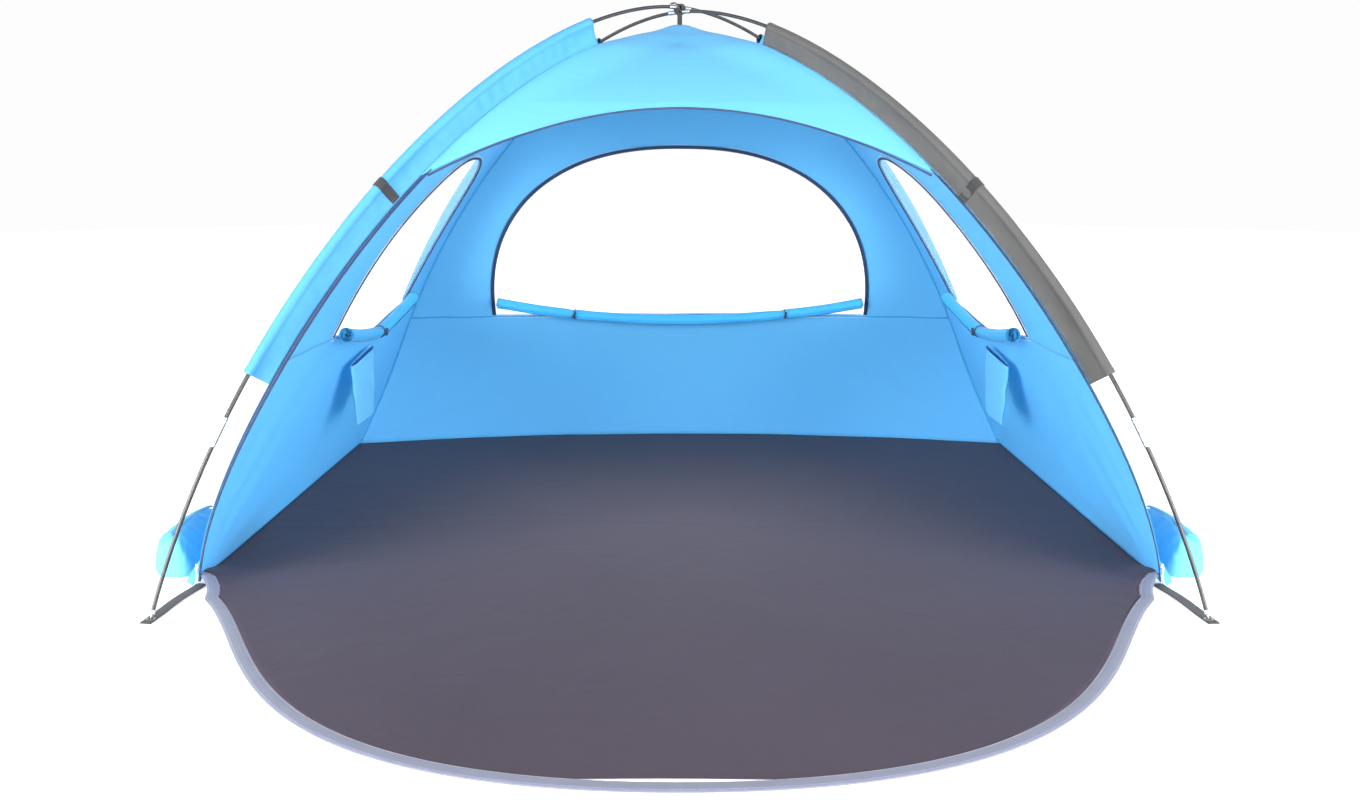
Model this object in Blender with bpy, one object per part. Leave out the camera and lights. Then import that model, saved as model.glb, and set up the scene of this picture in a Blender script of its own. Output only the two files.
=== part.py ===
"""A two-pole dome beach shelter with an open front and a zip-up porch floor.

Metres, +Z up. X runs across the shelter, the open front faces -Y, and the origin is
on the ground under the crossing of the poles.
"""

from math import cos, pi, radians, sin

import bmesh
import bpy
import numpy as np
from mathutils import Matrix, Vector

# Pole arches: half of one arch, in the vertical plane of its diagonal.
APEX_HEIGHT = 1.275
FOOT_REACH = 1.335
CROWN_PULL = 0.44
FOOT_PULL = 0.75
FOOT_PITCH = radians(72)
DIAGONAL = radians(37.2)
CROSSING_RISE = 0.0055

POLE_RADIUS = 0.00425
POLE_BORE = 0.0028
CORD_RADIUS = 0.0012
FERRULE_RADIUS = 0.0055
FERRULE_BORE = 0.0046
FERRULE_HALF = 0.0325
FOOT_JOINT = 0.40
STATION_STEP = 0.097
TIP_LENGTH = 0.022
TIP_SHOULDER = 0.012
TIP_PIN_RADIUS = 0.0022

# Fabric: the seams run inside the poles, and the corners are tucked in at the ground.
SEAM_DROP = 0.046
FABRIC = 0.003
SEAM_MARGIN = 0.0065
TUCK_HEIGHT = 0.35
FRONT_CORNER_Y = -0.60
REAR_CORNER_Y = 0.66
CORNER_FLARE = 0.030
REAR_BULGE = 0.14
PEAK_ROW = 1.2265
VISOR_LOWEST = 0.80
VISOR_CUT_HALF = 0.70
VISOR_EDGE = 1.022
VISOR_CURVE = 0.49
GAP = 0.0003

SLEEVE_TOP = 0.27
SLEEVE_END = 0.53
SLEEVE_RADIUS = 0.0115
SLEEVE_BORE = 0.0088
SLEEVE_FOOT = 0.0026

# Windows: D-shaped. The side sills dip where their rolled covers are tied.
SILL_HEIGHT = 0.425
REAR_WINDOW = (0.0, 0.600, 0.525, 2.3)
SIDE_WINDOW = (0.055, 0.350, 0.415, 2.4)
SIDE_SILL = 0.500
SIDE_SILL_LOW = (0.120, 0.455)
MESH_THICKNESS = 0.001
MESH_SHRINK = 0.995

ROLL_RADIUS = 0.018
ROLL_CLEARANCE = 0.0075
REAR_HINGE_HEIGHT = 0.395
SIDE_HINGE_HEIGHT = 0.445
REAR_ROLL_HALF = 0.580
REAR_ROLL_RISE = 0.042
REAR_ROLL_SAG = 0.062
REAR_TIE_X = 0.340
SIDE_ROLL_ENDS = (-0.270, 0.385)
SIDE_ROLL_HEIGHTS = (0.500, 0.452, 0.515)
SIDE_ROLL_BEND = 1.4
SIDE_TIE_Y = 0.120
TIE_THICKNESS = 0.0016
TIE_WIDTH = 0.006
TOGGLE_RADIUS = 0.0035
TOGGLE_LENGTH = 0.022

# Porch: the zip-up floor flap in front of the hinge line.
PORCH_HINGE = (0.0, -0.603, 0.0015)
PORCH_START = 0.003
PORCH_HALF = 1.0
PORCH_SHOULDER = -0.70
PORCH_TIP = -1.446
PORCH_PULLS = (0.21, 0.265, 0.733)
HEM_WIDTH = 0.027

STRAP_WIDTH = 0.025
STRAP_THICKNESS = 0.002
STRAP_TAIL = 0.022
EYELET_RADIUS = 0.0056
SLIDER_BASE = 0.045
SAND_POCKET_LOW = (1.066, -0.595, 0.0)
SAND_POCKET_HIGH = (1.170, -0.345, 0.120)
SAND_POCKET_ROUND = 0.03
STORAGE_SPAN = (-0.060, 0.150)
STORAGE_HEIGHTS = (0.225, 0.408)
STORAGE_DEPTH = 0.022
STORAGE_WALL = 0.002
STORAGE_CLEAR = 0.006
SLIDER_BODY = (0.010, 0.010, 0.014)
SLIDER_CLEAR = 0.004
SLIDER_PULL = (0.006, 0.0025, 0.036)
SLIDER_PULL_DROP = 0.030
APEX_TIE_HALF = 0.024
APEX_TIE_WIDE = 0.009
APEX_TIE_THICK = 0.0016
APEX_TIE_CLEAR = 0.0025
APEX_TAIL = (0.010, 0.0012)


def clear_scene():
    for item in list(bpy.data.objects):
        bpy.data.objects.remove(item)


def material(name, colour, roughness, metallic=0.0):
    made = bpy.data.materials.new(name)
    made.use_nodes = True
    shader = made.node_tree.nodes["Principled BSDF"]
    shader.inputs["Base Color"].default_value = (*colour, 1.0)
    shader.inputs["Roughness"].default_value = roughness
    shader.inputs["Metallic"].default_value = metallic
    return made


def mesh_object(name, vertices, faces, surface, origin=(0, 0, 0), smooth=True):
    """One object of a closed mesh, with its origin where the piece turns or slides."""
    mesh = bpy.data.meshes.new(name)
    mesh.from_pydata([Vector(v) - Vector(origin) for v in vertices], [], faces)
    work = bmesh.new()
    work.from_mesh(mesh)
    bmesh.ops.recalc_face_normals(work, faces=work.faces)
    if work.calc_volume(signed=True) < 0:
        bmesh.ops.reverse_faces(work, faces=work.faces)
    work.to_mesh(mesh)
    work.free()
    mesh.materials.append(surface)
    if smooth:
        mesh.shade_smooth()
        mesh.set_sharp_from_angle(angle=radians(40))
    made = bpy.data.objects.new(name, mesh)
    made.location = origin
    bpy.context.scene.collection.objects.link(made)
    return made


def boolean(target, other, operation):
    """Adds an exact Boolean with a helper object that isn't a piece of its own."""
    other.hide_render = True
    other.display_type = "WIRE"
    other.parent = target
    other.matrix_parent_inverse = Matrix.Translation(target.location).inverted()
    cut = target.modifiers.new(operation.title(), "BOOLEAN")
    cut.operation = operation
    cut.solver = "EXACT"
    cut.object = other


# ---- curves of the frame -------------------------------------------------------------


def bezier(points, fractions):
    p = np.array(points, float)
    t = np.asarray(fractions, float).reshape(-1, 1)
    ends = (1 - t) ** 3 * p[0] + t**3 * p[3]
    return ends + 3 * (1 - t) ** 2 * t * p[1] + 3 * (1 - t) * t * t * p[2]


def half_arch(rise=0.0, count=600):
    """(reach, height) from the crossing down to the foot."""
    top = APEX_HEIGHT + rise
    return bezier(
        (
            (0, top),
            (CROWN_PULL, top),
            (FOOT_REACH - FOOT_PULL * cos(FOOT_PITCH), FOOT_PULL * sin(FOOT_PITCH)),
            (FOOT_REACH, 0),
        ),
        np.linspace(0, 1, count),
    )


def lengths_of(points):
    return np.concatenate([[0], np.cumsum(np.linalg.norm(np.diff(points, axis=0), axis=1))])


def inward(points):
    """Unit normals of a half arch, towards the inside of the shelter."""
    along = np.gradient(points, axis=0)
    across = np.stack([along[:, 1], -along[:, 0]], axis=1)
    return across / np.linalg.norm(across, axis=1)[:, None]


class Arch:
    """One pole's centre line, by length from the crossing; negative towards the front."""

    def __init__(self, side, rise):
        self.points = half_arch(rise)
        self.length = lengths_of(self.points)
        self.half = self.length[-1]
        self.along = Vector((side * cos(DIAGONAL), sin(DIAGONAL), 0))
        self.across = Vector((-self.along.y, self.along.x, 0))

    def place(self, length):
        """The centre, the outward normal and the sideways direction at a length."""
        reach, height = (np.interp(abs(length), self.length, c) for c in self.points.T)
        step = 0.002
        ends = np.clip((abs(length) - step, abs(length) + step), 0, self.half)
        run, fall = (np.diff(np.interp(ends, self.length, c))[0] for c in self.points.T)
        sign = -1.0 if length < 0 else 1.0
        radial = self.along * sign
        outward = (radial * -fall + Vector((0, 0, run))).normalized()
        return radial * reach + Vector((0, 0, height)), outward, self.across

    def stations(self, low, high):
        """Lengths between two ends that every piece on this pole shares."""
        joints = self.joints()
        shared = {round(k * STATION_STEP, 6) for k in range(-30, 31)}
        for joint in joints:
            shared |= {joint - FERRULE_HALF, joint + FERRULE_HALF, joint}
        inside = [s for s in shared if low + 0.004 < s < high - 0.004]
        return [low, *sorted(inside), high]

    def joints(self):
        outer = self.half - FOOT_JOINT
        return [-outer, -outer / 2, 0.0, outer / 2, outer]


def seam_curve():
    """(reach, height) of the fabric seams under the poles, down to the ground."""
    points = half_arch()
    seam = points + inward(points) * SEAM_DROP
    return seam[(seam[:, 0] >= 0) & (seam[:, 1] > -0.001)]


SEAM = seam_curve()


def reach_at(height):
    return float(np.interp(height, SEAM[::-1, 1], SEAM[::-1, 0]))


def tuck(height):
    return max(0.0, 1 - height / TUCK_HEIGHT) ** 2


def side_x(height, reach=None):
    reach = reach_at(height) if reach is None else reach
    return reach * cos(DIAGONAL) + CORNER_FLARE * tuck(height)


def front_y(height, reach=None):
    reach = reach_at(height) if reach is None else reach
    ground = reach_at(0) * sin(DIAGONAL)
    return -reach * sin(DIAGONAL) + (ground + FRONT_CORNER_Y) * tuck(height)


def rear_y(height, reach=None):
    reach = reach_at(height) if reach is None else reach
    ground = reach_at(0) * sin(DIAGONAL)
    return reach * sin(DIAGONAL) - (ground - REAR_CORNER_Y) * tuck(height)


def bulge(height, share):
    """How far the back wall stands out past its corners, at a share of its half width."""
    return REAR_BULGE * max(0.0, 1 - height / SEAM[0, 1]) ** 1.5 * (1 - share**2)


def seam_rows(lowest, count, highest=PEAK_ROW):
    """Seam points from near the peak to a lowest height, closer together where it bends."""
    kept = SEAM[(SEAM[:, 1] >= lowest) & (SEAM[:, 1] <= highest)]
    length = lengths_of(kept)
    wanted = np.linspace(0, length[-1], count)
    rows = [tuple(np.interp(w, length, c) for c in kept.T) for w in wanted]
    return [*rows[:-1], (reach_at(lowest), lowest)]


# ---- poles -------------------------------------------------------------------------


def circle(radius, sides=8):
    angles = [2 * pi * k / sides for k in range(sides)]
    return [(radius * cos(angle), radius * sin(angle)) for angle in angles]


def sweep(name, arch, lengths, loops, surface, bore=None):
    """A tube along an arch. loops is one outline, or one for each station."""
    loops = loops if isinstance(loops[0], list) else [loops] * len(lengths)
    vertices, faces = [], []
    for outlines in ([loops] if bore is None else [loops, [bore] * len(lengths)]):
        for length, outline in zip(lengths, outlines):
            centre, outward, sideways = arch.place(length)
            vertices += [centre + outward * a + sideways * b for a, b in outline]
    sides, last = len(loops[0]), len(lengths) - 1
    shells = 1 if bore is None else 2
    for shell in range(shells):
        base = shell * sides * len(lengths)
        for i in range(last):
            for k in range(sides):
                a, b = base + i * sides + k, base + i * sides + (k + 1) % sides
                faces.append((a, b, b + sides, a + sides))
    for row in (0, last):
        start = row * sides
        if bore is None:
            faces.append(tuple(range(start, start + sides)))
            continue
        inner = start + sides * len(lengths)
        for k in range(sides):
            after = (k + 1) % sides
            faces.append((start + k, start + after, inner + after, inner + k))
    return mesh_object(name, vertices, faces, surface)


def pole(letter, arch, fibreglass, steel, elastic):
    """Six tube sections, the ferrules that join them, two end tips and the shock cord."""
    joints = arch.joints()
    ends = [-arch.half + TIP_LENGTH, *joints, arch.half - TIP_LENGTH]
    for number, (low, high) in enumerate(zip(ends, ends[1:]), 1):
        stations = arch.stations(low + GAP / 2, high - GAP / 2)
        tube, bore = circle(POLE_RADIUS), circle(POLE_BORE)
        sweep(f"pole_{letter}_section_{number}", arch, stations, tube, fibreglass, bore)
    for number, joint in enumerate(joints, 1):
        stations = [joint - FERRULE_HALF, joint, joint + FERRULE_HALF]
        tube, bore = circle(FERRULE_RADIUS), circle(FERRULE_BORE)
        sweep(f"pole_{letter}_ferrule_{number}", arch, stations, tube, steel, bore)
    for end, sign in (("front", -1), ("rear", 1)):
        pole_tip(f"pole_{letter}_tip_{end}", arch, sign, steel)
    reach = arch.half - TIP_LENGTH - 0.001
    stations = arch.stations(-reach, reach)
    sweep(f"pole_{letter}_shock_cord", arch, stations, circle(CORD_RADIUS, 6), elastic)


def pole_tip(name, arch, sign, steel):
    """The end cap under a foot section, with the pin that stands in the strap's eyelet."""
    ends = (TIP_LENGTH - GAP, TIP_SHOULDER, TIP_SHOULDER - 0.001, 0.002)
    radii = (POLE_RADIUS, POLE_RADIUS, TIP_PIN_RADIUS, TIP_PIN_RADIUS)
    lengths = [sign * (arch.half - end) for end in ends]
    sweep(name, arch, lengths, [circle(radius) for radius in radii], steel)


def sleeve_outlines():
    """The flat-footed teardrop that is sewn to the seam, and its round bore."""
    foot = -(SEAM_DROP - 0.0045)
    outer, inner = [], []
    for k in range(9):
        angle = radians(-128 + 32 * k)
        outer.append((SLEEVE_RADIUS * cos(angle), SLEEVE_RADIUS * sin(angle)))
        inner.append((SLEEVE_BORE * cos(angle), SLEEVE_BORE * sin(angle)))
    outer += [(foot, SLEEVE_FOOT), (foot, -SLEEVE_FOOT)]
    inner += [(-SLEEVE_BORE, 0.0015), (-SLEEVE_BORE, -0.0015)]
    return outer, inner


def sleeve(name, arch, sign, cloth):
    """A fabric tunnel that holds one half of a pole above a canopy seam."""
    outer, inner = sleeve_outlines()
    low, high = sorted((sign * SLEEVE_TOP, sign * (arch.half - SLEEVE_END)))
    sweep(name, arch, arch.stations(low, high), outer, cloth, inner)


# ---- canopy ------------------------------------------------------------------------


def shell(name, outer, inner, surface):
    """A closed sheet between two grids of points."""
    rows, columns = len(outer), len(outer[0])
    vertices = [p for grid in (outer, inner) for row in grid for p in row]
    offset, faces = rows * columns, []
    for i in range(rows - 1):
        for j in range(columns - 1):
            near = i * columns + j
            quad = (near, near + 1, near + columns + 1, near + columns)
            faces += [quad, tuple(v + offset for v in reversed(quad))]
    rim = [j for j in range(columns)] + [i * columns + columns - 1 for i in range(1, rows)]
    rim += [(rows - 1) * columns + j for j in range(columns - 2, -1, -1)]
    rim += [i * columns for i in range(rows - 2, 0, -1)]
    for a, b in zip(rim, rim[1:] + rim[:1]):
        faces.append((a, b, b + offset, a + offset))
    return mesh_object(name, vertices, faces, surface)


def row_normals(rows, distance):
    """Unit normals, away from the inside, of a profile given as (distance, height) rows."""
    profile = np.array([(distance(z, s), z) for s, z in rows])
    along = np.gradient(profile, axis=0)
    normal = np.stack([-along[:, 1], along[:, 0]], axis=1)
    return profile, normal / np.linalg.norm(normal, axis=1)[:, None]


def side_sheet(name, side, outer_depth, inner_depth, surface, lowest):
    """The left or right wall as a sheet that is straight from front to back."""
    rows = seam_rows(lowest, 18)
    profile, normal = row_normals(rows, side_x)
    grids = []
    for depth in (outer_depth, inner_depth):
        grid = []
        for (reach, height), place, away in zip(rows, profile, normal):
            x, z = place - away * depth
            z = lowest if height == lowest else z
            front = front_y(height, reach) + SEAM_MARGIN
            rear = rear_y(height, reach) - SEAM_MARGIN
            grid.append([(side * x, front, z), (side * x, rear, z)])
        grids.append(grid)
    return shell(name, *grids, surface)


def back_sheet(name, outer_depth, inner_depth, surface, lowest):
    """The back wall, which bows outwards between its corners."""
    rows = seam_rows(lowest, 18)
    _, normal = row_normals(rows, lambda z, s: rear_y(z, s) + bulge(z, 0))
    shares = np.linspace(-1, 1, 9)
    grids = []
    for depth in (outer_depth, inner_depth):
        grid = []
        for (reach, height), away in zip(rows, normal):
            half = side_x(height, reach) - SEAM_MARGIN
            line = []
            for share in shares:
                y = rear_y(height, reach) + bulge(height, share) - away[0] * depth
                z = height if height == lowest else height - away[1] * depth
                line.append((share * half, y, z))
            grid.append(line)
        grids.append(grid)
    return shell(name, *grids, surface)


def visor(cloth):
    """The roof panel over the entrance, cut to a curved front edge."""
    rows = seam_rows(VISOR_LOWEST, 12)
    profile, normal = row_normals(rows, lambda z, s: -front_y(z, s))
    grids = []
    for depth in (0.0, FABRIC):
        grid = []
        for (reach, height), place, away in zip(rows, profile, normal):
            y, z = place - away * depth
            half = side_x(height, reach) - SEAM_MARGIN
            grid.append([(-half, -y, z), (half, -y, z)])
        grids.append(grid)
    made = shell("roof_visor", *grids, cloth)
    wide = VISOR_CUT_HALF
    edge = [(x, VISOR_EDGE - VISOR_CURVE * x * x) for x in np.linspace(-wide, wide, 15)]
    cutter = prism("visor_cutter", [*edge, (wide, 0.6), (-wide, 0.6)], "y", (-0.8, 0.0))
    boolean(made, cutter, "DIFFERENCE")


def window_outline(window, sill, shrink=1.0, lowest=None):
    """A D on its flat side, as (across, height) points; the sill may dip to a lowest point."""
    middle, half, tall, power = window
    outline = []
    for k in range(17):
        angle = pi * k / 16
        across = half * abs(cos(angle)) ** (2 / power) * (1 if cos(angle) >= 0 else -1)
        outline.append((across, tall * sin(angle) ** (2 / power)))
    low = tall * (1 - shrink)
    outline = [(middle + a * shrink, sill + max(low, b * shrink)) for a, b in outline]
    return outline if lowest is None else [*outline, (lowest[0], lowest[1] + low)]


def prism(name, outline, axis, span):
    """A straight bar of an outline, along X or Y."""
    vertices = []
    for end in span:
        vertices += [(end, a, b) if axis == "x" else (a, end, b) for a, b in outline]
    count = len(outline)
    faces = [tuple(range(count)), tuple(range(2 * count - 1, count - 1, -1))]
    faces += [(k, (k + 1) % count, (k + 1) % count + count, k + count) for k in range(count)]
    return mesh_object(name, vertices, faces, material(name, (0.5, 0.5, 0.5), 0.5), smooth=False)


def walls(cloth, netting):
    """Both side walls and the back wall, each with its window opening and mesh panel."""
    lowest = FABRIC + GAP
    mesh_depths = (FABRIC / 2, FABRIC / 2 + MESH_THICKNESS)
    for side, word in ((-1, "left"), (1, "right")):
        span = tuple(sorted((side * 0.2, side * 1.2)))
        wall = side_sheet(f"{word}_wall", side, 0.0, FABRIC, cloth, lowest)
        opening = window_outline(SIDE_WINDOW, SIDE_SILL, lowest=SIDE_SILL_LOW)
        boolean(wall, prism(f"{word}_window_cutter", opening, "x", span), "DIFFERENCE")
        panel = side_sheet(f"{word}_window_mesh", side, *mesh_depths, netting, 0.2)
        outline = window_outline(SIDE_WINDOW, SIDE_SILL, MESH_SHRINK, SIDE_SILL_LOW)
        boolean(panel, prism(f"{word}_mesh_cutter", outline, "x", span), "INTERSECT")
    wall = back_sheet("back_wall", 0.0, FABRIC, cloth, lowest)
    opening = window_outline(REAR_WINDOW, SILL_HEIGHT)
    boolean(wall, prism("rear_window_cutter", opening, "y", (0.2, 1.2)), "DIFFERENCE")
    panel = back_sheet("rear_window_mesh", *mesh_depths, netting, 0.2)
    outline = window_outline(REAR_WINDOW, SILL_HEIGHT, MESH_SHRINK)
    boolean(panel, prism("rear_mesh_cutter", outline, "y", (0.2, 1.2)), "INTERSECT")


# ---- rolled window flaps -------------------------------------------------------------


def rear_roll_centre(x):
    sag = REAR_ROLL_SAG * (1 - (x / REAR_ROLL_HALF) ** 2)
    height = SILL_HEIGHT + REAR_ROLL_RISE - sag
    share = x / side_x(height)
    y = rear_y(height) + bulge(height, share) - FABRIC - ROLL_CLEARANCE - ROLL_RADIUS
    return Vector((x, y, height))


def side_roll_centre(side, y):
    front, tied, rear = SIDE_ROLL_HEIGHTS
    end, high = (SIDE_ROLL_ENDS[0], front) if y < SIDE_TIE_Y else (SIDE_ROLL_ENDS[1], rear)
    share = (y - SIDE_TIE_Y) / (end - SIDE_TIE_Y)
    height = tied + (high - tied) * share**SIDE_ROLL_BEND
    x = side_x(height) - FABRIC - ROLL_CLEARANCE - ROLL_RADIUS
    return Vector((side * x, y, height))


def tube_along(name, centres, radius, surface, origin, sides=8):
    """A solid roll around a row of centres, with flat ends."""
    vertices, faces = [], []
    for i, centre in enumerate(centres):
        ahead = centres[min(i + 1, len(centres) - 1)] - centres[max(i - 1, 0)]
        level = ahead.cross(Vector((0, 0, 1))).normalized()
        up = level.cross(ahead).normalized()
        vertices += [centre + level * a + up * b for a, b in circle(radius, sides)]
    for i in range(len(centres) - 1):
        for k in range(sides):
            a, b = i * sides + k, i * sides + (k + 1) % sides
            faces.append((a, b, b + sides, a + sides))
    faces.append(tuple(range(sides)))
    faces.append(tuple(range((len(centres) - 1) * sides, len(centres) * sides)))
    return mesh_object(name, vertices, faces, surface, origin)


def roll_tie(name, centre, along, inwards, surface, origin):
    """A cord loop round a roll, with the toggle that closes it on the inner side."""
    along, inwards = along.normalized(), inwards.normalized()
    up = along.cross(inwards).normalized()
    up = up if up.z > 0 else -up
    inner, sides = (ROLL_RADIUS + GAP * 2) / cos(pi / 12), 12
    vertices, faces = [], []
    for k in range(sides):
        ray = inwards * cos(2 * pi * k / sides) + up * sin(2 * pi * k / sides)
        for radius, offset in ((0, -1), (TIE_THICKNESS, -1), (TIE_THICKNESS, 1), (0, 1)):
            vertices.append(centre + ray * (inner + radius) + along * (offset * TIE_WIDTH / 2))
    for k in range(sides):
        for m in range(4):
            a, b = 4 * k + m, 4 * k + (m + 1) % 4
            faces.append((a, b, (b + 4) % (4 * sides), (a + 4) % (4 * sides)))
    ring = mesh_object(name, vertices, faces, surface, origin)
    middle = centre + inwards * (inner + TIE_THICKNESS + TOGGLE_RADIUS * 0.7)
    half = up * (TOGGLE_LENGTH / 2)
    toggle = tube_between(f"{name}_toggle", middle - half, middle + half, TOGGLE_RADIUS, surface)
    boolean(ring, toggle, "UNION")


def tube_between(name, low, high, radius, surface):
    along = (high - low).normalized()
    one = along.orthogonal().normalized()
    other = along.cross(one)
    vertices = [end + one * a + other * b for end in (low, high) for a, b in circle(radius)]
    faces = [tuple(range(8)), tuple(range(8, 16))]
    faces += [(k, (k + 1) % 8, (k + 1) % 8 + 8, k + 8) for k in range(8)]
    return mesh_object(name, vertices, faces, surface)


def rear_hinge():
    height = REAR_HINGE_HEIGHT
    return Vector((0, rear_y(height) + bulge(height, 0) - FABRIC, height))


def side_hinge(side):
    return Vector((side * (side_x(SIDE_HINGE_HEIGHT) - FABRIC), 0, SIDE_HINGE_HEIGHT))


def window_flaps(cloth, cord):
    """The three zip-up window covers, rolled down to the sills and tied."""
    centres = [rear_roll_centre(x) for x in np.linspace(-REAR_ROLL_HALF, REAR_ROLL_HALF, 15)]
    tube_along("rear_flap_roll", centres, ROLL_RADIUS, cloth, rear_hinge())
    for sign, word in ((-1, "left"), (1, "right")):
        x = sign * REAR_TIE_X
        along = rear_roll_centre(x + 0.01) - rear_roll_centre(x - 0.01)
        centre, inwards = rear_roll_centre(x), Vector((0, -1, 0))
        roll_tie(f"rear_flap_tie_{word}", centre, along, inwards, cord, rear_hinge())
        centres = [side_roll_centre(sign, y) for y in np.linspace(*SIDE_ROLL_ENDS, 11)]
        tube_along(f"{word}_flap_roll", centres, ROLL_RADIUS, cloth, side_hinge(sign))
        ahead, behind = (side_roll_centre(sign, SIDE_TIE_Y + step) for step in (0.01, -0.01))
        centre, inwards = side_roll_centre(sign, SIDE_TIE_Y), Vector((-sign, 0, 0))
        roll_tie(f"{word}_flap_tie", centre, ahead - behind, inwards, cord, side_hinge(sign))


# ---- floor, porch and small fittings -------------------------------------------------


def slab(name, outline, low, high, surface, origin=(0, 0, 0)):
    """A flat plate of a plan outline."""
    vertices = [(x, y, z) for z in (low, high) for x, y in outline]
    count = len(outline)
    faces = [tuple(range(count)), tuple(range(count, 2 * count))]
    faces += [(k, (k + 1) % count, (k + 1) % count + count, k + count) for k in range(count)]
    return mesh_object(name, vertices, faces, surface, origin, smooth=False)


def floor(groundsheet):
    half = side_x(0)
    across = np.linspace(half, -half, 17)
    rear = [(x, REAR_CORNER_Y + REAR_BULGE * (1 - (x / half) ** 2)) for x in across]
    front = [(-half, FRONT_CORNER_Y), (half, FRONT_CORNER_Y)]
    slab("floor", [*front, *rear], 0, FABRIC, groundsheet)


def porch_edge(inset=0.0, count=15):
    """The outer edge of the porch from right to left, moved in by an inset."""
    side, drop, front = PORCH_PULLS
    half = bezier(
        (
            (PORCH_HALF, PORCH_SHOULDER),
            (PORCH_HALF - side, PORCH_SHOULDER - drop),
            (front, PORCH_TIP),
            (0, PORCH_TIP),
        ),
        np.linspace(0, 1, count),
    )
    start = (PORCH_HALF, PORCH_HINGE[1] - PORCH_START)
    edge = np.concatenate([[start], half])
    edge = np.concatenate([edge, edge[-2::-1] * (-1, 1)])
    along = np.gradient(edge, axis=0)
    along[0], along[-1] = (0, -1), (0, 1)
    normal = np.stack([along[:, 1], -along[:, 0]], axis=1)
    return edge + normal / np.linalg.norm(normal, axis=1)[:, None] * inset


def porch(groundsheet, binding):
    """The D-shaped door that lies out flat as a porch, and the bound hem along its zip."""
    slab("porch_floor", porch_edge(HEM_WIDTH + GAP).tolist(), 0, FABRIC, groundsheet, PORCH_HINGE)
    outer, inner = porch_edge(), porch_edge(HEM_WIDTH)
    shell(
        "porch_hem",
        [[(*a, FABRIC), (*b, FABRIC)] for a, b in zip(outer, inner)],
        [[(*a, 0), (*b, 0)] for a, b in zip(outer, inner)],
        binding,
    )


def corner_strap(name, arch, sign, webbing):
    """The webbing from a floor corner to a pole foot, with the eyelet for the pole tip."""
    foot, _, _ = arch.place(sign * (arch.half - 0.001))
    corner_y = REAR_CORNER_Y if sign > 0 else FRONT_CORNER_Y
    corner = Vector((np.sign(foot.x) * (side_x(0) - STRAP_WIDTH / 2), corner_y, 0))
    foot = Vector((foot.x, foot.y, 0))
    along = (foot - corner).normalized()
    across = Vector((-along.y, along.x, 0)) * (STRAP_WIDTH / 2)
    end = foot + along * STRAP_TAIL
    inner_x = side_x(0) - STRAP_WIDTH
    step = REAR_BULGE * (1 - (inner_x / side_x(0)) ** 2) if sign > 0 else 0
    clear = Vector((0, np.sign(corner_y) * (step + 2 * GAP), 0))
    edge_left, edge_right = (
        corner + clear + s * across - along * ((s * across).y / along.y) for s in (1, -1)
    )
    plan = [edge_left, edge_right, end - across, end + across]
    strap = slab(name, [(p.x, p.y) for p in plan], 0, STRAP_THICKNESS, webbing)
    low, high = foot - Vector((0, 0, 0.01)), foot + Vector((0, 0, 0.02))
    hole = tube_between(f"{name}_eyelet", low, high, EYELET_RADIUS, webbing)
    boolean(strap, hole, "DIFFERENCE")


def box(name, low, high, surface, origin=(0, 0, 0)):
    outline = [(low[0], low[1]), (high[0], low[1]), (high[0], high[1]), (low[0], high[1])]
    return slab(name, outline, low[2], high[2], surface, origin)


def mirrored(low, high, side):
    """A box's corners on the right (1) or, turned over, on the left (-1)."""
    xs = sorted((side * low[0], side * high[0]))
    return (xs[0], *low[1:]), (xs[1], *high[1:])


def sand_pocket(word, side, cloth):
    """A filled pouch on the ground outside a front corner, with rounded edges."""
    pouch = box(f"sand_pocket_{word}", *mirrored(SAND_POCKET_LOW, SAND_POCKET_HIGH, side), cloth)
    soften = pouch.modifiers.new("Rounded", "BEVEL")
    soften.width = SAND_POCKET_ROUND
    soften.segments = 3
    soften.affect = "EDGES"
    soften.limit_method = "WEIGHT"
    weights = pouch.data.attributes.new("bevel_weight_edge", "FLOAT", "EDGE")
    for edge in pouch.data.edges:
        heights = [pouch.data.vertices[v].co.z for v in edge.vertices]
        weights.data[edge.index].value = 1.0 if max(heights) > 0.01 else 0.0


def storage_pocket(word, side, cloth):
    """An open-topped pouch that hangs plumb from the sill seam inside a side wall."""
    outer_x = side_x(STORAGE_HEIGHTS[1]) - FABRIC - STORAGE_CLEAR
    low = (outer_x - STORAGE_DEPTH, STORAGE_SPAN[0], STORAGE_HEIGHTS[0])
    high = (outer_x, STORAGE_SPAN[1], STORAGE_HEIGHTS[1])
    pouch = box(f"storage_pocket_{word}", *mirrored(low, high, side), cloth)
    hollow_low = [value + STORAGE_WALL for value in low]
    hollow_high = (high[0] - STORAGE_WALL, high[1] - STORAGE_WALL, high[2] + 0.05)
    hollow = box(f"storage_cutter_{word}", *mirrored(hollow_low, hollow_high, side), cloth)
    boolean(pouch, hollow, "DIFFERENCE")


def door_slider(word, side, metal):
    """The zip slider at the foot of a front edge, with its hanging pull."""
    base = Vector((side * side_x(SLIDER_BASE), front_y(SLIDER_BASE) - SLIDER_CLEAR, SLIDER_BASE))
    wide, deep, tall = SLIDER_BODY
    low, high = base - Vector((wide / 2, deep, 0)), base + Vector((wide / 2, 0, tall))
    body = box(f"door_zip_slider_{word}", low, high, metal, base)
    wide, thick, tall = SLIDER_PULL
    low = base - Vector((wide / 2, deep + thick - GAP * 2, SLIDER_PULL_DROP))
    pull = box(f"slider_pull_{word}", low, low + Vector((wide, thick, tall)), metal)
    boolean(body, pull, "UNION")


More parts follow.
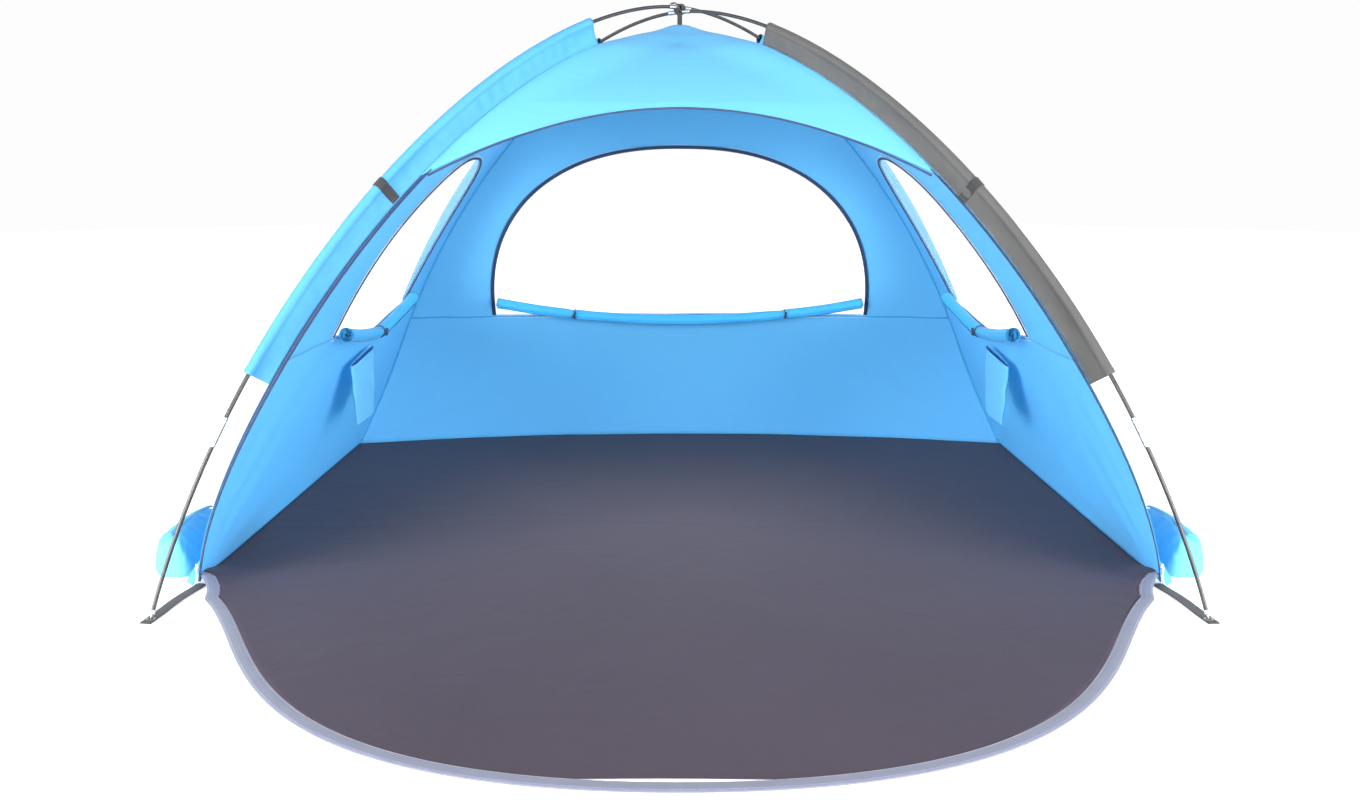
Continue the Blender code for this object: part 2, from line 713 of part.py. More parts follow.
def apex_tie(webbing):
    """The band that ties the crossing of the poles to the peak of the canopy."""
    half, thick, wide = APEX_TIE_HALF, APEX_TIE_THICK, APEX_TIE_WIDE
    spread = CROSSING_RISE + FERRULE_RADIUS + APEX_TIE_CLEAR
    low, high = APEX_HEIGHT - spread, APEX_HEIGHT + spread
    band = box("apex_tie", (-half, -wide, low), (half, wide, high), webbing)
    inner_low = (thick - half, -2 * wide, low + thick)
    hole = box("apex_tie_cutter", inner_low, (half - thick, 2 * wide, high - thick), webbing)
    across, deep = APEX_TAIL
    foot = SEAM[0, 1] + thick + thick
    tail = box("apex_tie_tail", (-across, -deep, foot), (across, deep, low + thick / 2), webbing)
    boolean(band, hole, "DIFFERENCE")
    boolean(band, tail, "UNION")


def build():
    clear_scene()
    blue = material("sky_blue_polyester", (0.12, 0.48, 0.92), 0.55)
    grey = material("grey_polyester", (0.26, 0.26, 0.26), 0.55)
    dark = material("purple_grey_groundsheet", (0.11, 0.10, 0.15), 0.6)
    netting = material("white_mesh", (0.86, 0.88, 0.90), 0.8)
    hem = material("lavender_binding", (0.29, 0.31, 0.42), 0.6)
    webbing = material("black_webbing", (0.015, 0.015, 0.017), 0.75)
    fibreglass = material("black_fibreglass", (0.012, 0.012, 0.013), 0.35)
    steel = material("ferrule_steel", (0.62, 0.62, 0.62), 0.3, 1.0)
    elastic = material("shock_cord", (0.03, 0.03, 0.03), 0.8)
    cord = material("navy_cord", (0.01, 0.015, 0.05), 0.6)
    light = material("slider_nickel", (0.70, 0.74, 0.80), 0.35, 0.8)

    arches = {"a": Arch(1, CROSSING_RISE), "b": Arch(-1, -CROSSING_RISE)}
    fronts = {("a", -1): "front_left", ("b", -1): "front_right"}
    ends = {**fronts, ("a", 1): "rear_right", ("b", 1): "rear_left"}
    for letter, arch in arches.items():
        pole(letter, arch, fibreglass, steel, elastic)
    for (letter, sign), word in ends.items():
        cloth = grey if word == "front_right" else blue
        sleeve(f"sleeve_{word}", arches[letter], sign, cloth)
        corner_strap(f"corner_strap_{word}", arches[letter], sign, webbing)
    visor(blue)
    walls(blue, netting)
    window_flaps(blue, cord)
    floor(dark)
    porch(dark, hem)
    for side, word in ((-1, "left"), (1, "right")):
        sand_pocket(word, side, blue)
        storage_pocket(word, side, blue)
        door_slider(word, side, light)
    apex_tie(webbing)


build()
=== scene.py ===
"""The looks of a two-pole dome beach shelter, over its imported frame.

Metres, +Z up. The curves of the poles, seams, windows and porch repeat those of the
part, so every cloth piece lies where its CAD solid is.
"""

from math import cos, pi, radians, sin, tau

import bmesh
import bpy
import numpy as np
from mathutils import Matrix, Vector


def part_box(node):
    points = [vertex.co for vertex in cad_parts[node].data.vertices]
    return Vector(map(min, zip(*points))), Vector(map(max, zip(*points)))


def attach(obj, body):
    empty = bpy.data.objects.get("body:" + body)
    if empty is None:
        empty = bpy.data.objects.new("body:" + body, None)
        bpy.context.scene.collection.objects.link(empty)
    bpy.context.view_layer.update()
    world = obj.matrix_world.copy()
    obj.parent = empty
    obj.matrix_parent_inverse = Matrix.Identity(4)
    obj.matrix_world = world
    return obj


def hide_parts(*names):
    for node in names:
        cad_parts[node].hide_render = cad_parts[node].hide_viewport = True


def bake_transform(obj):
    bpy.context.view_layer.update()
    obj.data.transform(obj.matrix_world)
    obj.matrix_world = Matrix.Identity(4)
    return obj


# Pole arches and seams, as in the part.
APEX_HEIGHT = 1.275
FOOT_REACH = 1.335
CROWN_PULL = 0.44
FOOT_PULL = 0.75
FOOT_PITCH = radians(72)
DIAGONAL = radians(37.2)
CROSSING_RISE = 0.0055
SEAM_DROP = 0.046
TUCK_HEIGHT = 0.35
FRONT_CORNER_Y = -0.60
REAR_CORNER_Y = 0.66
CORNER_FLARE = 0.030
REAR_BULGE = 0.14
VISOR_EDGE = 1.022
VISOR_CURVE = 0.49
VISOR_HALF = 0.55
FOOT_JOINT = 0.40
FERRULE_HALF = 0.0325
TIP_LENGTH = 0.022
SLEEVE_TOP = 0.27
SLEEVE_END = 0.53
SLEEVE_RADIUS = 0.0108
FLOOR_CLEAR = 0.0009

# Windows: across, half width, height, roundness and sill; the side sills dip to a low point.
WINDOWS = {
    "back": (0.0, 0.600, 0.525, 2.3, 0.425),
    "left": (0.055, 0.350, 0.415, 2.4, 0.500),
    "right": (0.055, 0.350, 0.415, 2.4, 0.500),
}
SILL_LOW = {"back": (0.0, 0.425), "left": (0.120, 0.455), "right": (0.120, 0.455)}
WORDS = {"back": "rear", "left": "left", "right": "right"}
BODIES = {"back": "rear_flap", "left": "left_flap", "right": "right_flap"}
SEAM_TAPE_DROP = 0.006
ROLL_RADIUS = 0.018
ROLL_CLEARANCE = 0.0075
CAD_CLOTH = 0.003
REAR_ROLL_HALF = 0.580
REAR_ROLL_RISE = 0.042
REAR_ROLL_SAG = 0.062
SIDE_ROLL_HEIGHTS = (0.500, 0.452, 0.515)
SIDE_ROLL_BEND = 1.4
REAR_TIE_X = 0.340
SIDE_ROLL_ENDS = (-0.270, 0.385)
SIDE_TIE_Y = 0.120

# Porch: hinge line, outline and hem.
PORCH_HALF = 1.0
PORCH_SHOULDER = -0.70
PORCH_TIP = -1.446
PORCH_PULLS = (0.21, 0.265, 0.733)
PORCH_CORNER = ((1.050, -0.606), (1.030, -0.628), (1.014, -0.652), (1.004, -0.678))
CORNER_LIFT = 0.026
LIFT_REACH = 0.055
HEM_WIDTH = 0.027

CLOTH = 0.0008
STEP = 0.002

# Grid sizes, and the margins and radii of small pieces.
WALL_ROWS = 132
WALL_COLUMNS = {"back": 122, "left": 84, "right": 84, "visor": 96}
NET_ROWS = 50
NET_COLUMNS = 60
NET_MARGIN = 0.008
NET_BELOW_SILL = 0.012
NET_DEPTH = 0.0021
ROD_RADIUS = 0.00425
FERRULE_RADIUS = 0.0055
GUY_BAND_HEIGHT = 0.854
GROUND_COLUMNS = 130
FLAP_COUNT = 150
FLAP_TURNS = 7
FLAP_SIDES = 22

# Studio: area lights as name, place, size and watts, and the camera.
LIGHTS = (
    ("key_light", (-1.6, -3.2, 3.6), 3.0, 20),
    ("left_fill", (-3.1, -3.4, 0.9), 2.6, 400),
    ("right_fill", (3.1, -3.4, 0.9), 2.6, 370),
    ("rear_light", (0.5, 3.2, 3.0), 3.0, 60),
)
SKY_RAMP = (0.18, 0.75, 0.98, 0.25)
FLOOR_GLOW = (2.2, 7.5, 0.5, 0.9)
RANGE_KEYS = ("From Min", "From Max", "To Min", "To Max")
STUDIO_RADIUS = 16
CAMERA_PLACE = (0.0007, -2.926, 0.890)
CAMERA_TILT = radians(11.686)
CAMERA_LENS = 29.70


# ---- curves --------------------------------------------------------------------------


def bezier(points, fractions):
    p = np.array(points, float)
    t = np.asarray(fractions, float).reshape(-1, 1)
    ends = (1 - t) ** 3 * p[0] + t**3 * p[3]
    return ends + 3 * (1 - t) ** 2 * t * p[1] + 3 * (1 - t) * t * t * p[2]


def lengths_of(points):
    steps = np.linalg.norm(np.diff(points, axis=0), axis=1)
    return np.concatenate([[0], np.cumsum(steps)])


def half_arch(rise=0.0):
    """(reach, height) of a pole from the crossing down to its foot."""
    top = APEX_HEIGHT + rise
    low = (FOOT_REACH - FOOT_PULL * cos(FOOT_PITCH), FOOT_PULL * sin(FOOT_PITCH))
    return bezier(((0, top), (CROWN_PULL, top), low, (FOOT_REACH, 0)), np.linspace(0, 1, 800))


def resampled(points, count):
    """A polyline at even steps."""
    length = lengths_of(points)
    wanted = np.linspace(0, length[-1], count)
    return np.stack([np.interp(wanted, length, c) for c in points.T], axis=1)


class Arch:
    """One pole's centre line, by length from the crossing; negative towards the front."""

    def __init__(self, side, rise):
        self.rise = rise
        self.points = half_arch(rise)
        self.length = lengths_of(self.points)
        self.half = self.length[-1]
        self.along = np.array((side * cos(DIAGONAL), sin(DIAGONAL), 0))
        self.across = np.array((-self.along[1], self.along[0], 0))

    def place(self, lengths):
        """Centres and outward normals at lengths."""
        lengths = np.asarray(lengths, float)
        sign = np.where(lengths < 0, -1.0, 1.0)[:, None]
        run, fall = (self.at(np.abs(lengths) + STEP) - self.at(np.abs(lengths) - STEP)).T
        reach, height = self.at(np.abs(lengths)).T
        radial = sign * self.along
        centre = radial * reach[:, None] + up(height)
        outward = -radial * fall[:, None] + up(run)
        return centre, unit(outward)

    def at(self, lengths):
        inside = np.clip(lengths, 0, self.half)
        return np.stack([np.interp(inside, self.length, c) for c in self.points.T], axis=-1)

    def joints(self):
        outer = self.half - FOOT_JOINT
        return [-outer, -outer / 2, 0.0, outer / 2, outer]

    def drop(self, lengths):
        """The distance from the pole to the seam that its sleeve is sewn to."""
        share = np.clip(np.abs(lengths) / self.half, 0, 1)
        return SEAM_DROP + self.rise * (1 - share) ** 2 * (1 + 2 * share)


def up(heights):
    heights = np.asarray(heights, float)
    return np.stack([0 * heights, 0 * heights, heights], axis=-1)


def unit(vectors):
    return vectors / np.maximum(np.linalg.norm(vectors, axis=-1, keepdims=True), 1e-12)


def smooth(value, low, high):
    share = np.clip((np.asarray(value, float) - low) / (high - low), 0, 1)
    return share * share * (3 - 2 * share)


def seam_profile():
    """(length, reach, height) down a seam, from the peak to just above the floor."""
    points = half_arch()
    along = np.gradient(points, axis=0)
    normal = unit(np.stack([along[:, 1], -along[:, 0]], axis=1))
    seam = points + normal * SEAM_DROP
    seam = seam[(seam[:, 0] >= 0) & (seam[:, 1] > 0)]
    length = lengths_of(seam)
    kept = seam[:, 1] > FLOOR_CLEAR
    return length[kept], seam[kept, 0], seam[kept, 1]


SEAM_LENGTH, SEAM_REACH, SEAM_HEIGHT = seam_profile()
GROUND_REACH = SEAM_REACH[-1]
SEAM_END = SEAM_LENGTH[-1]


def length_at(height):
    """The seam length at a height; heights near the flat peak aren't asked for."""
    return np.interp(height, SEAM_HEIGHT[::-1], SEAM_LENGTH[::-1])


def profile(length):
    """Half width, front y, rear y and height of the canopy at a seam length."""
    reach = np.interp(length, SEAM_LENGTH, SEAM_REACH)
    height = np.interp(length, SEAM_LENGTH, SEAM_HEIGHT)
    tuck = np.clip(1 - height / TUCK_HEIGHT, 0, 1) ** 2
    ground = GROUND_REACH * sin(DIAGONAL)
    half = reach * cos(DIAGONAL) + CORNER_FLARE * tuck
    front = -reach * sin(DIAGONAL) + (ground + FRONT_CORNER_Y) * tuck
    rear = reach * sin(DIAGONAL) - (ground - REAR_CORNER_Y) * tuck
    peak = 0.010 * np.exp(-((np.asarray(length) / 0.05) ** 2)) - 0.006 * smooth(length, 0.0, 0.1)
    return half, front, rear, height + peak * (1 - smooth(length, 0.16, SLEEVE_TOP))


def relief(wall, across, length):
    """Soft folds in a panel: zero along its seams, and fanning out of its low corners."""
    half, front, rear, height = profile(length)
    if wall in ("left", "right"):
        left, right = across - front, rear - across
    else:
        left, right = across + half, half - across
    inside = smooth(np.minimum(left, right), 0.0, 0.16)
    turn = {"left": 0.4, "right": 2.1, "back": 3.3, "visor": 5.0}[wall]
    drape = np.sin(13 * across + 2.2 * length + turn) + 0.6 * np.sin(29 * across - 5 * length + 2 * turn)
    folds = 0.0012 * drape * smooth(length, 0.4, 1.4)
    for edge, phase in ((left, 0.0), (right, 1.7)):
        angle = np.arctan2(height, np.maximum(edge, 1e-3))
        near = np.exp(-np.hypot(edge, height) / 0.30)
        folds = folds + 0.0045 * near * np.sin(17 * angle + phase + turn)
    sag = {"visor": 0.012, "back": 0.004}.get(wall, 0.006)
    top = sag * np.sin(pi * np.clip(length / 0.55, 0, 1)) * inside
    return folds * inside * smooth(height, 0.0, 0.12) - top


def bare_wall(wall, across, length):
    half, front, rear, height = profile(length)
    if wall in ("left", "right"):
        return np.stack([{"left": -1, "right": 1}[wall] * half, across, height], axis=-1)
    if wall == "visor":
        return np.stack([across, front, height], axis=-1)
    share = np.clip(across / np.maximum(half, 1e-6), -1, 1)
    bow = REAR_BULGE * np.clip(1 - height / SEAM_HEIGHT[0], 0, 1) ** 1.5 * (1 - share**2)
    return np.stack([across, rear + bow, height], axis=-1)


def wall_normal(wall, across, length):
    down = bare_wall(wall, across, length + STEP) - bare_wall(wall, across, length - STEP)
    over = bare_wall(wall, across + STEP, length) - bare_wall(wall, across - STEP, length)
    turn = {"left": -1, "right": 1, "back": -1, "visor": 1}[wall]
    return unit(np.cross(over, down)) * -turn


def on_wall(wall, across, length, depth=0.0):
    """Points on a wall, at a depth inside its outer face."""
    across, length = np.broadcast_arrays(np.asarray(across, float), np.asarray(length, float))
    normal = wall_normal(wall, across, length)
    move = relief(wall, across, length) - depth
    return bare_wall(wall, across, length) + normal * move[..., None]


def window_curve(wall, grow=0.0, count=240):
    """(across, height) round a window from one end of its sill to the other, moved out."""
    middle, half, tall, power, sill = WINDOWS[wall]
    angle = np.linspace(0, pi, count)
    bend = np.cos(angle)
    across = np.sign(bend) * (half + grow) * np.abs(bend) ** (2 / power)
    return np.stack([middle + across, sill + (tall + grow) * np.sin(angle) ** (2 / power)], axis=1)


def sill_height(wall, across):
    """The sill's height: straight lines from the window's corners to its low point."""
    middle, half, _, _, sill = WINDOWS[wall]
    low = SILL_LOW[wall]
    return np.interp(across, (middle - half, low[0], middle + half), (sill, low[1], sill))


def in_window(wall, across, height):
    middle, half, tall, power, sill = WINDOWS[wall]
    over = np.abs((across - middle) / half) ** power
    rise = np.maximum(height - sill, 0) / tall
    return (height > sill_height(wall, across)) & (over + rise**power < 1)


def porch_edge(inset=0.0, count=60):
    """The outer edge of half the porch, from its start to the tip, moved in by an inset."""
    side, drop, front = PORCH_PULLS
    start, pull = (PORCH_HALF, PORCH_SHOULDER), (PORCH_HALF - side, PORCH_SHOULDER - drop)
    half = bezier((start, pull, (front, PORCH_TIP), (0, PORCH_TIP)), np.linspace(0, 1, count * 4))
    edge = resampled(np.concatenate([PORCH_CORNER, half]), count)
    along = np.gradient(edge, axis=0)
    along[0], along[-1] = (0, -1), (-1, 0)
    return edge + unit(np.stack([along[:, 1], -along[:, 0]], axis=1)) * inset


# ---- node materials ------------------------------------------------------------------


class Graph:
    """A material's nodes, with short calls for the kinds used here."""

    def __init__(self, name):
        self.made = bpy.data.materials.new(name)
        self.made.use_nodes = True
        self.tree = self.made.node_tree
        self.shader = self.tree.nodes["Principled BSDF"]
        self.out = self.tree.nodes["Material Output"]
        self.coords = self.tree.nodes.new("ShaderNodeTexCoord")

    def node(self, kind, inputs, **settings):
        made = self.tree.nodes.new(kind)
        for key, value in settings.items():
            setattr(made, key, value)
        for key, value in inputs.items():
            self.feed(made.inputs[key], value)
        return made

    def feed(self, socket, value):
        if isinstance(value, bpy.types.NodeSocket):
            self.tree.links.new(value, socket)
        else:
            socket.default_value = value

    def math(self, operation, *values):
        inputs = dict(enumerate(values))
        return self.node("ShaderNodeMath", inputs, operation=operation).outputs[0]

    def noise(self, place, scale, detail=3.0, distortion=0.0):
        inputs = {"Vector": place, "Scale": scale, "Detail": detail, "Distortion": distortion}
        return self.node("ShaderNodeTexNoise", inputs).outputs["Fac"]

    def bands(self, place, direction, pitch, distortion=0.0):
        """Stripes a pitch apart, across one axis."""
        inputs = {"Vector": place, "Scale": tau / (20 * pitch), "Distortion": distortion}
        return self.node("ShaderNodeTexWave", inputs, bands_direction=direction).outputs["Fac"]

    def span(self, value, low, high):
        inputs = {"Value": value, "To Min": low, "To Max": high}
        return self.node("ShaderNodeMapRange", inputs).outputs[0]

    def blend(self, factor, first, second):
        made = self.node("ShaderNodeMix", {0: factor, 6: first, 7: second}, data_type="RGBA")
        return made.outputs[2]

    def bump(self, height, strength, distance, below=None):
        inputs = {"Height": height, "Strength": strength, "Distance": distance}
        if below is not None:
            inputs["Normal"] = below
        return self.node("ShaderNodeBump", inputs).outputs[0]

    def set(self, **values):
        for key, value in values.items():
            self.feed(self.shader.inputs[key.replace("_", " ")], value)


def rgb(*values):
    return (*values, 1.0)


def cloth(name, deep, pale, pitch=0.0011, glow=0.0, crumple=0.006, sheen=0.25, rough=(0.5, 0.66)):
    """Woven cloth: crossed threads with painted shade between them, slubs, drifts of tone and faint creases.
    """
    g = Graph(name)
    place = g.coords.outputs["UV"]
    threads = g.math("MULTIPLY", g.bands(place, "X", pitch), g.bands(place, "Y", pitch))
    creases = g.noise(place, 7.0, 5.0, 0.9)
    drift = g.noise(place, 1.7, 3.0)
    slub = g.noise(place, 260.0, 2.0)
    tone = g.math("ADD", g.span(drift, 0.05, 0.75), g.span(slub, -0.12, 0.12))
    # Painted shade: the colour follows the weave's bump height, lighter on the thread crossings and darker
    # between them; the drift and slub are the cloth's own uneven tone.
    tone = g.math("ADD", tone, g.span(threads, -0.10, 0.10))
    colour = g.blend(tone, rgb(*deep), rgb(*pale))
    soft = g.bump(creases, 0.35, crumple)
    normal = g.bump(threads, 0.35, pitch * 0.4, soft)
    g.set(Base_Color=colour, Normal=normal, Roughness=g.span(slub, *rough))
    g.set(Sheen_Weight=sheen, Sheen_Roughness=0.45, Specular_IOR_Level=0.22)
    if glow:
        shine = g.node("ShaderNodeBsdfTranslucent", {"Color": colour, "Normal": normal})
        mix = g.node("ShaderNodeMixShader", {0: glow, 1: g.shader.outputs[0], 2: shine.outputs[0]})
        g.tree.links.new(mix.outputs[0], g.out.inputs["Surface"])
    return g.made


def netting(name, pitch=0.0024, bare=0.975):
    """Square see-through mesh of fine white threads that glow with painted light; higher bare is thinner
    thread.
    """
    g = Graph(name)
    place = g.coords.outputs["UV"]
    most = g.math("MAXIMUM", g.bands(place, "X", pitch), g.bands(place, "Y", pitch))
    thread = g.math("GREATER_THAN", most, bare)
    haze = g.noise(place, 5.0, 3.0)
    g.set(Base_Color=g.blend(haze, rgb(0.82, 0.86, 0.90), rgb(0.93, 0.95, 0.97)))
    g.set(Roughness=g.span(haze, 0.6, 0.8), Normal=g.bump(most, 0.5, pitch * 0.3))
    # Painted light: a white emission makes the threads glow brighter than the lamps light them.
    g.set(Emission_Color=rgb(1.0, 1.0, 1.0), Emission_Strength=0.35)
    clear = g.node("ShaderNodeBsdfTransparent", {})
    inputs = {0: thread, 1: clear.outputs[0], 2: g.shader.outputs[0]}
    mix = g.node("ShaderNodeMixShader", inputs)
    g.tree.links.new(mix.outputs[0], g.out.inputs["Surface"])
    return g.made


def webbing(name, deep, pale, pitch=0.0024, coords="UV"):
    """Ribbed strap: ridges across its length, and a herringbone of finer threads, with painted shade darker
    in the grooves and lighter on the ridges.
    """
    g = Graph(name)
    place = g.coords.outputs[coords]
    ribs = g.bands(place, "X", pitch, 0.4)
    weft = g.bands(place, "DIAGONAL", pitch * 0.4)
    fuzz = g.noise(place, 420.0, 3.0)
    height = g.math("ADD", ribs, g.math("MULTIPLY", weft, 0.4))
    # Painted shade: the colour follows the rib and weft height, lighter on the ridges and darker in the
    # grooves; the fuzz is the strap's own uneven tone.
    tone = g.math("ADD", g.math("MULTIPLY", height, 0.45), g.span(fuzz, -0.1, 0.35))
    g.set(Base_Color=g.blend(tone, rgb(*deep), rgb(*pale)), Roughness=g.span(fuzz, 0.6, 0.85))
    g.set(Normal=g.bump(height, 0.7, 0.0006), Sheen_Weight=0.15)
    return g.made


def metal(name, deep, pale, rough=(0.22, 0.42), metallic=1.0):
    """Plated metal with drawn streaks and handling marks."""
    g = Graph(name)
    place = g.coords.outputs["Object"]
    streaks = g.noise(place, 180.0, 4.0, 0.3)
    marks = g.noise(place, 22.0, 5.0)
    g.set(Base_Color=g.blend(marks, rgb(*deep), rgb(*pale)), Metallic=metallic)
    g.set(Roughness=g.span(marks, *rough), Normal=g.bump(streaks, 0.15, 0.0004))
    return g.made


def glass_fibre(name):
    """Gloss black rod: lengthwise strands under resin, dulled by scuffs."""
    g = Graph(name)
    place = g.coords.outputs["UV"]
    strands = g.bands(place, "Y", 0.0009, 1.5)
    scuffs = g.noise(g.coords.outputs["Object"], 60.0, 5.0, 0.5)
    g.set(Base_Color=g.blend(scuffs, rgb(0.006, 0.006, 0.007), rgb(0.035, 0.035, 0.038)))
    g.set(Roughness=g.span(scuffs, 0.22, 0.5), Normal=g.bump(strands, 0.2, 0.0002))
    g.set(Coat_Weight=0.3, Coat_Roughness=0.2)
    return g.made


def zip_tape(name):
    """Navy zip tape: a fine twill either side of the toothed coil, with painted highlights on the teeth."""
    g = Graph(name)
    place = g.coords.outputs["UV"]
    teeth = g.bands(place, "X", 0.0016)
    twill = g.bands(place, "DIAGONAL", 0.0007)
    worn = g.noise(place, 90.0, 4.0)
    # Painted highlight: the colour is lighter on each tooth band, following the teeth's bump height; the worn
    # noise is real wear.
    tone = g.math("ADD", g.math("MULTIPLY", teeth, 0.5), g.span(worn, -0.1, 0.4))
    g.set(Base_Color=g.blend(tone, rgb(0.006, 0.016, 0.055), rgb(0.022, 0.055, 0.150)))
    height = g.math("ADD", teeth, g.math("MULTIPLY", twill, 0.3))
    g.set(Normal=g.bump(height, 0.6, 0.0005), Roughness=g.span(worn, 0.45, 0.7))
    return g.made


def ground_material():
    g = Graph("studio_floor")
    haze = g.noise(g.coords.outputs["Object"], 0.6, 2.0)
    g.set(Base_Color=g.blend(haze, rgb(0.965, 0.965, 0.965), rgb(0.985, 0.985, 0.985)))
    g.set(Roughness=g.span(haze, 0.85, 0.95), Specular_IOR_Level=0.1)
    away = g.node("ShaderNodeVectorMath", {0: g.coords.outputs["Object"]}, operation="LENGTH")
    inputs = {"Value": away.outputs["Value"], **dict(zip(RANGE_KEYS, FLOOR_GLOW))}
    glow = g.node("ShaderNodeMapRange", inputs, interpolation_type="SMOOTHSTEP").outputs[0]
    g.set(Emission_Color=rgb(1.0, 1.0, 1.0), Emission_Strength=glow)
    return g.made


# ---- mesh makers ---------------------------------------------------------------------


def cells(rows, columns, wrap=False):
    index = np.arange(rows * columns).reshape(rows, columns)
    if wrap:
        index = np.concatenate([index, index[:, :1]], axis=1)
    quads = (index[:-1, :-1], index[:-1, 1:], index[1:, 1:], index[1:, :-1])
    return np.stack(quads, axis=-1).reshape(-1, 4)


def piece(name, points, faces, surface, coords=None, weld=0.0):
    """A smooth mesh object; coords are the cloth coordinates of its points, in metres."""
    points = np.asarray(points, float).reshape(-1, 3)
    mesh = bpy.data.meshes.new(name)
    mesh.from_pydata(points.tolist(), [], [list(map(int, f)) for f in faces])
    if coords is not None:
        layer = mesh.uv_layers.new(name="cloth")
        corner = np.zeros(len(mesh.loops), int)
        mesh.loops.foreach_get("vertex_index", corner)
        flat = np.asarray(coords, float).reshape(-1, 2)[corner]
        layer.data.foreach_set("uv", flat.ravel())
    if weld:
        work = bmesh.new()
        work.from_mesh(mesh)
        bmesh.ops.remove_doubles(work, verts=work.verts, dist=weld)
        bmesh.ops.recalc_face_normals(work, faces=work.faces)
        work.to_mesh(mesh)
        work.free()
    mesh.materials.append(surface)
    mesh.shade_smooth()
    made = bpy.data.objects.new(name, mesh)
    bpy.context.scene.collection.objects.link(made)
    return made


def applied(made):
    """Bakes an object's modifiers into its mesh."""
    graph = bpy.context.evaluated_depsgraph_get()
    mesh = bpy.data.meshes.new_from_object(made.evaluated_get(graph))
    made.modifiers.clear()
    made.data = mesh
    return made


def thick(made, thickness):
    solid = made.modifiers.new("Cloth_thickness", "SOLIDIFY")
    solid.thickness = thickness
    solid.offset = 0.0
    return applied(made)


def creased(made, angle=35):
    made.data.set_sharp_from_angle(angle=radians(angle))
    return made


def frames_along(points, facing):
    """Tangents, sideways and outward directions along a polyline."""
    along = unit(np.gradient(points, axis=0))
    facing = np.broadcast_to(np.asarray(facing, float), points.shape)
    across = unit(np.cross(along, facing))
    return along, across, np.cross(across, along)


def ribbon(name, points, facing, width, thickness, surface, columns=5, crown=0.0):
    """A flat tape along a line, facing outwards; its middle may stand up in a crown."""
    points = np.asarray(points, float)
    _, across, out = frames_along(points, facing)
    share = np.linspace(-0.5, 0.5, columns)
    width = np.broadcast_to(width, len(points))[:, None]
    rise = crown * (1 - (2 * share) ** 2)
    shifted = points[:, None] + across[:, None] * (share * width)[..., None]
    grid = shifted + out[:, None] * rise[None, :, None]
    length = lengths_of(points)
    coords = np.stack(np.broadcast_arrays(length[:, None], share * width), axis=-1)
    made = piece(name, grid, cells(len(points), columns), surface, coords)
    return thick(made, thickness)


def tube(name, points, radius, surface, sides=14, facing=(0.13, 0.2, 0.97), caps=True, flat=1.0):
    """A round or flattened tube along a line; radius may change along it."""
    points = np.asarray(points, float)
    _, across, out = frames_along(points, facing)
    angle = np.linspace(0, tau, sides, endpoint=False)
    radius = np.broadcast_to(radius, len(points))[:, None, None]
    ring = across[:, None] * np.cos(angle)[None, :, None]
    ring = ring + out[:, None] * (flat * np.sin(angle))[None, :, None]
    grid = points[:, None] + ring * radius
    faces = cells(len(points), sides, wrap=True).tolist()
    if caps:
        faces.append(list(range(sides))[::-1])
        faces.append(list(range((len(points) - 1) * sides, len(points) * sides)))
    length = lengths_of(points)
    girth = angle * float(np.mean(radius))
    coords = np.stack(np.broadcast_arrays(length[:, None], girth[None, :]), axis=-1)
    return creased(piece(name, grid, faces, surface, coords), 50)


def stitches(name, points, facing, surface, pitch=0.0042, long=0.0030, radius=0.0004):
    """A row of thread dashes along a line."""
    points = np.asarray(points, float)
    length = lengths_of(points)
    count = max(2, int(length[-1] / pitch))
    places = resampled(points, count)
    facing = np.broadcast_to(np.asarray(facing, float), points.shape)
    share = np.linspace(0, len(points) - 1, count)
    turned = np.stack([np.interp(share, np.arange(len(points)), c) for c in facing.T], axis=1)
    along, across, out = frames_along(places, turned)
    parts = [along * long / 2, across * radius, out * radius, -across * radius, -along * long / 2]
    corners = places[:, None] + np.stack(parts, axis=1)
    star = np.array([(0, 1, 2), (0, 2, 3), (4, 2, 1), (4, 3, 2), (0, 3, 1), (4, 1, 3)])
    faces = (np.arange(count)[:, None, None] * 5 + star[None]).reshape(-1, 3)
    return piece(name, corners, faces, surface)


def grid_coords(along, over):
    """Cloth coordinates of a grid, from its lengths along and across."""
    return np.stack(np.broadcast_arrays(along[:, None], over[None, :]), axis=-1)


def joined(name, parts):
    """Several objects made into one piece."""
    first = parts[0]
    with bpy.context.temp_override(active_object=first, selected_editable_objects=parts):
        bpy.ops.object.join()
    first.name = name
    return first


def placed(made, body, slot, *nodes):
    """A piece's body and the CAD nodes that it stands for; the material slot is not used."""
    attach(made, body)
    if nodes:
        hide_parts(*nodes)
    return made


# ---- canopy --------------------------------------------------------------------------


def wall_grid(wall, rows, columns):
    """Across and seam-length grids of a wall between its two seams."""
    lengths = np.linspace(0, SEAM_END, rows)
    half, front, rear, _ = profile(lengths)
    low, high = (front, rear) if wall in ("left", "right") else (-half, half)
    share = np.linspace(0, 1, columns)
    across = low[:, None] + (high - low)[:, None] * share
    return across, np.broadcast_to(lengths[:, None], across.shape).copy()


